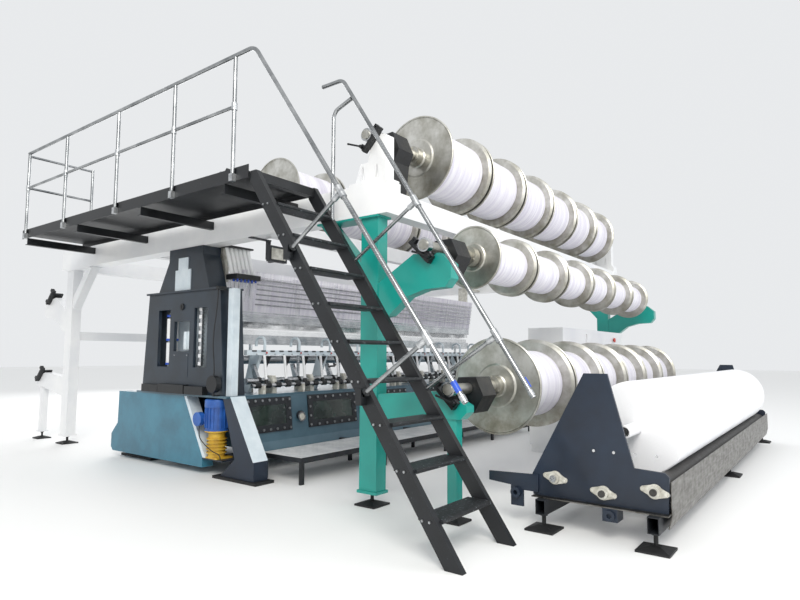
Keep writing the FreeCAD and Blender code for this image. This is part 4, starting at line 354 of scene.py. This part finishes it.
# bright zinc clamps on the rails; the brackets bolted to the stringers are painted black, which the
# shader tells by their distance in metres from the stringers' line
clampLook = {"base": "#D5D7D8", "shade": "#9A9DA0", "cloudMm": 40, "black": "#14171A", "blackReach": 0.075,
             "metal": 0.9, "rough": 0.36}
stairFoot = place(0, -1530, 0)
stairNormal = Vector((0, 0.8176, -0.5757))    # square to the stringers, in the plane of their sides
clamp, clampTree, clampShader = newMaterial("clampCasting")
clampPoint = addNode(clampTree, "ShaderNodeTexCoord").outputs["Object"]
across = addNode(clampTree, "ShaderNodeVectorMath", {1: stairNormal}, {0: clampPoint}, operation="DOT_PRODUCT")
fromStair = addNode(clampTree, "ShaderNodeMath", {1: stairFoot.y * stairNormal.y}, {0: across.outputs["Value"]},
                    operation="SUBTRACT")
aside = addNode(clampTree, "ShaderNodeMath", links={0: fromStair.outputs["Value"]}, operation="ABSOLUTE")
near = addNode(clampTree, "ShaderNodeMath", {1: clampLook["blackReach"]}, {0: aside.outputs["Value"]},
               operation="LESS_THAN")
clampMix = addNode(clampTree, "ShaderNodeMix", links={"Factor": near.outputs["Value"]}, data_type="RGBA")
clampTree.links.new(cloudColor(clampTree, clampPoint, clampLook)[0], clampMix.inputs[6])
clampMix.inputs[7].default_value = hexColor(clampLook["black"])
clampTree.links.new(clampMix.outputs[2], clampShader.inputs["Base Color"])
clampMetal = addNode(clampTree, "ShaderNodeMath", {0: clampLook["metal"]}, {1: near.outputs["Value"]},
                     operation="SUBTRACT")
clampTree.links.new(clampMetal.outputs["Value"], clampShader.inputs["Metallic"])
clampShader.inputs["Roughness"].default_value = clampLook["rough"]
finish["clampCasting"] = clamp

wears = {
    "front_frames": "tealEnamel", "rear_frames": "whiteEnamel", "top_beams": "whiteEnamel",
    "floor_pads": "footRubber", "clamp_plates": "blackCasting", "bearing_rings": "bearingChrome",
    "lever_top": "blackCasting", "lever_mid": "blackCasting", "lever_low": "blackCasting",
    "top_row_spools": "top_row", "inner_row_spools": "inner_row", "mid_row_spools": "mid_row",
    "low_row_spools": "low_row", "top_row_yarn": "filamentYarn", "inner_row_yarn": "filamentYarn",
    "mid_row_yarn": "filamentYarn", "low_row_yarn": "filamentYarn", "drives": "blackCasting",
    "bed_base": "bedEnamel", "bed_end_cover": "coverEnamel", "bed_legs": "navyEnamel",
    "pale_covers": "paleEnamel", "window_frames": "frameBlack", "window_panes": "oilBathGlass",
    "dome_bolts": "zincPlate",
    "tower_shell": "slateEnamel", "tower_lock": "blackCasting", "lube_motor": "motorEnamel",
    "lube_pump": "pumpEnamel", "rocker_shaft": "groundShaft", "bearing_castings": "creamCasting",
    "front_rail": "paleEnamel", "guide_bars": "groundShaft", "needle_bar": "groundShaft",
    "take_down_roller_front": "groundShaft", "take_down_roller_back": "groundShaft", "actuators": "whiteEnamel",
    "push_rods": "groundShaft", "step_tread": "treadPlate", "step_frame": "frameBlack",
    "platform_deck": "deckPaint", "stair_stringers": "deckPaint", "stair_treads": "treadPaint",
    "handrails": "stainlessTube", "rail_clamps": "clampCasting", "winder_side_plates": "navyEnamel",
    "winder_guard": "guardSheet", "winder_tubes": "frameBlack", "flange_bearings": "creamCasting",
    "carrier_roller_front": "frictionRubber", "carrier_roller_back": "frictionRubber",
    "guide_roller": "groundShaft", "cloth_roll": "rolledCloth", "cabinet_shell": "whiteEnamel",
    "cabinet_door": "whiteEnamel", "stop_button": "buttonPlastic", "panel_arm": "frameBlack",
    "touch_panel": "panelPlastic", "lamp_cable": "cableSheath", "motor_cable": "cableSheath",
}
for nodeName, finishName in wears.items():
    for materialSlot in nodes[nodeName].material_slots:
        materialSlot.material = finish[finishName]


print("stage: cords")


def cordPiece(name, points, diameter):
    curve = bpy.data.curves.new(name, "CURVE")
    curve.dimensions = "3D"
    spline = curve.splines.new("NURBS")
    spline.points.add(len(points) - 1)
    for target, point in zip(spline.points, points):
        target.co = (*place(*point), 1)
    spline.order_u = 3
    spline.use_endpoint_u = True
    curve.bevel_depth = diameter / 2
    curve.bevel_resolution = 4
    curve.use_fill_caps = True
    curve.resolution_u = 10
    curve.materials.append(finish["cableSheath"])
    cord = bpy.data.objects.new(name, curve)
    bpy.context.collection.objects.link(cord)
    bare = curve.copy()
    bare.bevel_depth = 0
    probe = bpy.data.objects.new("probe", bare)
    line = bpy.data.meshes.new_from_object(probe)
    ends = [(line.vertices[a].co, line.vertices[b].co) for a, b in (edge.vertices for edge in line.edges)]
    length = sum((start - end).length for start, end in ends)
    bpy.data.objects.remove(probe)
    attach(cord, "frame")
    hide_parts(name.replace("Cord", "_cable"))
    return length


lampX, motorX, motorY, motorZ = -207.5, -180.0, 2360.0, 544.0
cordLengths = {
    "lampCord": cordPiece("lampCord", [
        (lampX, 2075, 1120), (lampX, 2075, 1230), (lampX - 8, 2084, 1350), (lampX - 12, 2092, 1480),
        (lampX - 6, 2090, 1625), (lampX + 4, 2078, 1770), (lampX + 12, 2068, 1900), (lampX + 18, 2067, 1998),
        (lampX + 18, 2067, 2078)], 0.012),
    "motorCord": cordPiece("motorCord", [
        (motorX, motorY, motorZ), (motorX, motorY, motorZ - 60), (motorX - 30, motorY - 50, motorZ - 115),
        (motorX - 38, motorY - 125, motorZ - 165), (motorX - 30, motorY - 205, motorZ - 215),
        (motorX - 8, motorY - 285, motorZ - 265), (motorX + 40, motorY - 350, 250),
        (motorX + 40, motorY - 352, 190)], 0.010),
}
print("cord lengths", cordLengths)


print("stage: repeated pieces")


# One row or field of equal pieces: a line of points, repeated along a second line, carries a prism or,
# when As Bar is set, a rectangular bar.
def rowTree():
    tree = bpy.data.node_groups.new("evenRow", "GeometryNodeTree")
    tree.is_modifier = True
    tree.interface.new_socket("Geometry", in_out="OUTPUT", socket_type="NodeSocketGeometry")
    kinds = {"Start": "Vector", "Step": "Vector", "Count": "Int", "Second Step": "Vector",
             "Second Count": "Int", "Sides": "Int", "Radius": "Float", "Depth": "Float", "Turn": "Rotation",
             "Size": "Vector", "Bar": "Vector", "As Bar": "Bool", "Material": "Material"}
    for label, kind in kinds.items():
        tree.interface.new_socket(label, in_out="INPUT", socket_type="NodeSocket" + kind)
    given = addNode(tree, "NodeGroupInput").outputs
    first = addNode(tree, "GeometryNodeMeshLine", links={"Count": given["Count"], "Offset": given["Step"],
                                                        "Start Location": given["Start"]})
    second = addNode(tree, "GeometryNodeMeshLine", links={"Count": given["Second Count"],
                                                         "Offset": given["Second Step"]})
    field = addNode(tree, "GeometryNodeInstanceOnPoints", links={"Points": second.outputs["Mesh"],
                                                                "Instance": first.outputs["Mesh"]})
    spots = addNode(tree, "GeometryNodeRealizeInstances", links={"Geometry": field.outputs["Instances"]})
    prism = addNode(tree, "GeometryNodeMeshCylinder", links={
        "Vertices": given["Sides"], "Radius": given["Radius"], "Depth": given["Depth"]})
    bar = addNode(tree, "GeometryNodeMeshCube", links={"Size": given["Bar"]})
    shape = addNode(tree, "GeometryNodeSwitch", input_type="GEOMETRY", links={
        "Switch": given["As Bar"], "False": prism.outputs["Mesh"], "True": bar.outputs["Mesh"]})
    placed = addNode(tree, "GeometryNodeInstanceOnPoints", links={
        "Points": spots.outputs["Geometry"], "Instance": shape.outputs["Output"], "Rotation": given["Turn"],
        "Scale": given["Size"]})
    real = addNode(tree, "GeometryNodeRealizeInstances", links={"Geometry": placed.outputs["Instances"]})
    worn = addNode(tree, "GeometryNodeSetMaterial", links={"Geometry": real.outputs["Geometry"],
                                                          "Material": given["Material"]})
    addNode(tree, "NodeGroupOutput", links={"Geometry": worn.outputs["Geometry"]})
    return tree


evenRow = rowTree()
turns = {"x": (0, math.pi / 2, 0), "y": (math.pi / 2, 0, 0), "z": (0, 0, 0)}


# Every length in a row's dictionary is in millimetres; "axis" is the prism's own axis. "size" scales it.
def addRow(name, row, body="frame"):
    material = finish[row["finish"]]
    holder = bpy.data.objects.new(name, bpy.data.meshes.new(name))
    bpy.context.collection.objects.link(holder)
    modifier = holder.modifiers.new("row", "NODES")
    modifier.node_group = evenRow
    values = {"Start": place(*row["start"]), "Step": [v / 1000 for v in row.get("step", (0, 0, 0))],
              "Count": row.get("count", 1), "Second Step": [v / 1000 for v in row.get("secondStep", (0, 0, 0))],
              "Second Count": row.get("secondCount", 1), "Sides": row.get("sides", 3),
              "Radius": row.get("radius", 0) / 1000, "Depth": row.get("depth", 0) / 1000,
              "Turn": row.get("turn", turns[row.get("axis", "z")]), "Size": row.get("size", (1, 1, 1)),
              "Bar": [v / 1000 for v in row.get("bar", (0, 0, 0))], "As Bar": "bar" in row,
              "Material": material}
    for item in evenRow.interface.items_tree:
        if item.in_out == "INPUT":
            modifier[item.identifier] = values[item.name]
    depsgraph = bpy.context.evaluated_depsgraph_get()
    mesh = bpy.data.meshes.new_from_object(holder.evaluated_get(depsgraph))
    bpy.data.objects.remove(holder)
    piece = bpy.data.objects.new(name, mesh)
    bpy.context.collection.objects.link(piece)
    mesh.materials.clear()
    mesh.materials.append(material)
    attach(piece, body)
    return piece


# raised bars of the step's tread plate, both ways
diamond = {"axis": "z", "sides": 4, "radius": 13, "depth": 2, "finish": "treadPlate", "size": (1, 0.34, 1),
           "start": (190, 1075, 285.6), "step": (64, 0, 0), "count": 86,
           "secondStep": (0, 64, 0), "secondCount": 9}
addRow("treadDiamonds", diamond)
addRow("treadDiamondsCross", dict(diamond, start=(222, 1107, 285.6), size=(0.34, 1, 1), secondCount=8))

# needles and guide needles over the working width, far coarser than real ones so that they show
needle = {"axis": "z", "sides": 4, "radius": 1.6, "depth": 70, "finish": "groundShaft",
          "start": (290, 2435, 1630), "step": (9, 0, 0), "count": 618}
addRow("needleRow", needle, "needles")
guideNeedle = {"axis": "z", "sides": 4, "radius": 1.5, "depth": 62, "finish": "bearingChrome",
               "start": (310, 2387, 1729), "step": (9, 0, 0), "count": 612, "secondStep": (0, 62, -6),
               "secondCount": 4}
addRow("guideNeedles", guideNeedle, "swing")

# two warp sheets that come down to the guide bars, with far fewer and thicker threads than real ones
warp = {"axis": "z", "sides": 4, "radius": 2.2, "depth": 560, "finish": "filamentYarn",
        "start": (300, 2330, 2110), "step": (6, 0, 0), "count": 925, "turn": (0.16, 0, 0)}
addRow("warpSheetFront", warp, "swing")
addRow("warpSheetBack", dict(warp, start=(305, 2620, 2110), turn=(-0.12, 0, 0)), "swing")

# tension rods across the warp, the front shaft with its sleeves, feet and links, and the front rail's gussets
tensionRod = {"axis": "x", "sides": 16, "radius": 9, "depth": 5280, "finish": "bearingChrome",
              "start": (3190, 2290, 2290), "step": (0, 9, -62), "count": 6}
addRow("tensionRods", tensionRod, "swing")
frontShaft = {"axis": "x", "sides": 24, "radius": 22, "depth": 5640, "finish": "bearingChrome",
              "start": (3065, 1985, 990)}
addRow("frontShaft", frontShaft)
shaftSleeve = {"axis": "x", "sides": 24, "radius": 33, "depth": 70, "finish": "blackCasting",
               "start": (330, 1985, 990), "step": (157, 0, 0), "count": 36}
addRow("shaftSleeves", shaftSleeve)
shaftFoot = {"bar": (36, 90, 100), "finish": "creamCasting",
             "start": (400, 1985, 940), "step": (630, 0, 0), "count": 9}
addRow("shaftFeet", shaftFoot)
frontLink = {"axis": "z", "sides": 20, "radius": 17, "depth": 330, "finish": "whiteEnamel",
             "start": (470, 2016, 1178), "step": (315, 0, 0), "count": 17, "turn": (-0.15, 0, 0)}
addRow("frontLinks", frontLink)
linkJoint = dict(frontLink, radius=25, depth=54, finish="blackCasting", start=(470, 1994, 1030))
addRow("linkJoints", linkJoint)
gusset = {"axis": "x", "sides": 3, "radius": 92, "depth": 14, "finish": "blackCasting",
          "start": (560, 2105, 1290), "step": (315, 0, 0), "count": 17}
addRow("railGussets", gusset)

# sleeves on the rocker shaft; red tags, pads and screws along the front rail
sleeve = {"axis": "x", "sides": 20, "radius": 46, "depth": 34, "finish": "blackCasting",
          "start": (420, 2080, 1040), "step": (630, 0, 0), "count": 9}
addRow("rockerSleeves", sleeve, "rocker")
tag = {"bar": (22, 4, 22), "finish": "redTag",
       "start": (520, 2057, 1376), "step": (560, 0, 0), "count": 10}
addRow("redTags", tag)
railPad = {"bar": (62, 10, 16), "finish": "blackCasting",
           "start": (330, 2056, 1396), "step": (140, 0, 0), "count": 40}
addRow("railPads", railPad)
railScrew = {"axis": "y", "sides": 6, "radius": 7, "depth": 12, "finish": "zincPlate",
             "start": (365, 2055, 1358), "step": (140, 0, 0), "count": 40}
addRow("railScrews", railScrew)

# blue fittings under the push rods' block
fitting = {"axis": "z", "sides": 12, "radius": 13, "depth": 26, "finish": "blueCap",
           "start": (180, 2215, 2242), "step": (54, 0, 0), "count": 6,
           "secondStep": (0, 70, 0), "secondCount": 2}
addRow("blockFittings", fitting)

# cylinders with collars, and the chain's pins and faces, seen through the tower's slots; two plate screws
slotCylinder = {"axis": "z", "sides": 24, "radius": 38, "depth": 260, "finish": "whiteEnamel",
                "start": (-15, 3165, 1370), "step": (0, 120, 0), "count": 2, "secondStep": (0, 0, 300),
                "secondCount": 2}
addRow("slotCylinders", slotCylinder)
slotCollar = dict(slotCylinder, radius=43, depth=26, finish="blueCap", start=(-15, 3165, 1235),
                  secondStep=(0, 0, 300), secondCount=3)
addRow("slotCollars", slotCollar)
middleCylinder = {"axis": "z", "sides": 24, "radius": 30, "depth": 220, "finish": "paleEnamel",
                  "start": (-15, 2770, 1520), "step": (0, 80, 0), "count": 3}
addRow("middleCylinders", middleCylinder)
chainPin = {"axis": "x", "sides": 12, "radius": 9, "depth": 44, "finish": "bearingChrome",
            "start": (-66, 2515, 1244), "step": (0, 0, 46), "count": 15, "secondStep": (0, 30, 0),
            "secondCount": 2}
addRow("chainPins", chainPin)
chainFace = {"bar": (5, 48, 40), "finish": "whiteEnamel",
             "start": (-92, 2530, 1244), "step": (0, 0, 92), "count": 8}
addRow("chainFaces", chainFace)
plateScrew = {"axis": "x", "sides": 12, "radius": 7, "depth": 6, "finish": "bearingChrome",
              "start": (-134, 2718, 1342), "step": (0, 264, 0), "count": 2}
addRow("plateScrews", plateScrew)

# sight rings between the windows: bright ring, pale disc
wallLean = 0.114    # radians that the bed's front wall leans
sightRing = {"sides": 40, "radius": 58, "depth": 8, "finish": "bearingChrome",
             "start": (900, 1829, 598), "step": (1180, 0, 0), "count": 4,
             "turn": (math.pi / 2 - wallLean, 0, 0)}
addRow("sightRings", sightRing)
sightDisc = dict(sightRing, radius=40, depth=12, finish="creamCasting", start=(900, 1828, 598))
addRow("sightDiscs", sightDisc)

# blue bands at the lower ends of the two sloping handrails
band = {"sides": 32, "radius": 20.5, "depth": 80, "finish": "blueCap", "start": (-1019, -1576, 1155),
        "turn": (-0.618, 0, 0)}
addRow("outerBand", band)
addRow("innerBand", dict(band, start=(-241, -1690, 1157), turn=(-0.580, 0, 0)))

# bolts of the winder's plate, the cabinet's louvres, the vent holes of the pump motor and the panel's screen
winderBolt = {"axis": "x", "sides": 6, "radius": 12, "depth": 12, "finish": "bearingChrome",
              "start": (284, -2440, 640), "step": (0, 150, 0), "count": 4}
addRow("winderBolts", winderBolt)
louvre = {"bar": (8, 150, 12), "finish": "slateEnamel",
          "start": (5516, -300, 1500), "step": (0, 0, -34), "count": 9}
addRow("cabinetLouvres", louvre)
motorVent = {"axis": "z", "sides": 6, "radius": 9, "depth": 3, "finish": "blackCasting",
             "start": (-122, 2128, 850.5), "step": (30, 0, 0), "count": 5, "secondStep": (0, 30, 0),
             "secondCount": 5}
addRow("motorVents", motorVent)
screenGlow = {"bar": (200, 1, 125), "finish": "creamCasting",
              "start": (105, 1406.7, 2457.5)}
addRow("screenGlow", screenGlow, "panel")

print("stage: floor")
reach = 60    # metres from the middle of the floor to its edges
floorMesh = bpy.data.meshes.new("floor")
corners = [(-reach, -reach, 0), (reach, -reach, 0), (reach, reach, 0), (-reach, reach, 0)]
floorMesh.from_pydata(corners, [], [(0, 1, 2, 3)])
floor = bpy.data.objects.new("floor", floorMesh)
bpy.context.collection.objects.link(floor)
floorMaterial, floorTree, floorShader = newMaterial("paleFloor")
floorShader.inputs["Base Color"].default_value = hexColor("#F4F4F3")
floorShader.inputs["Roughness"].default_value = 0.7
floorMesh.materials.append(floorMaterial)
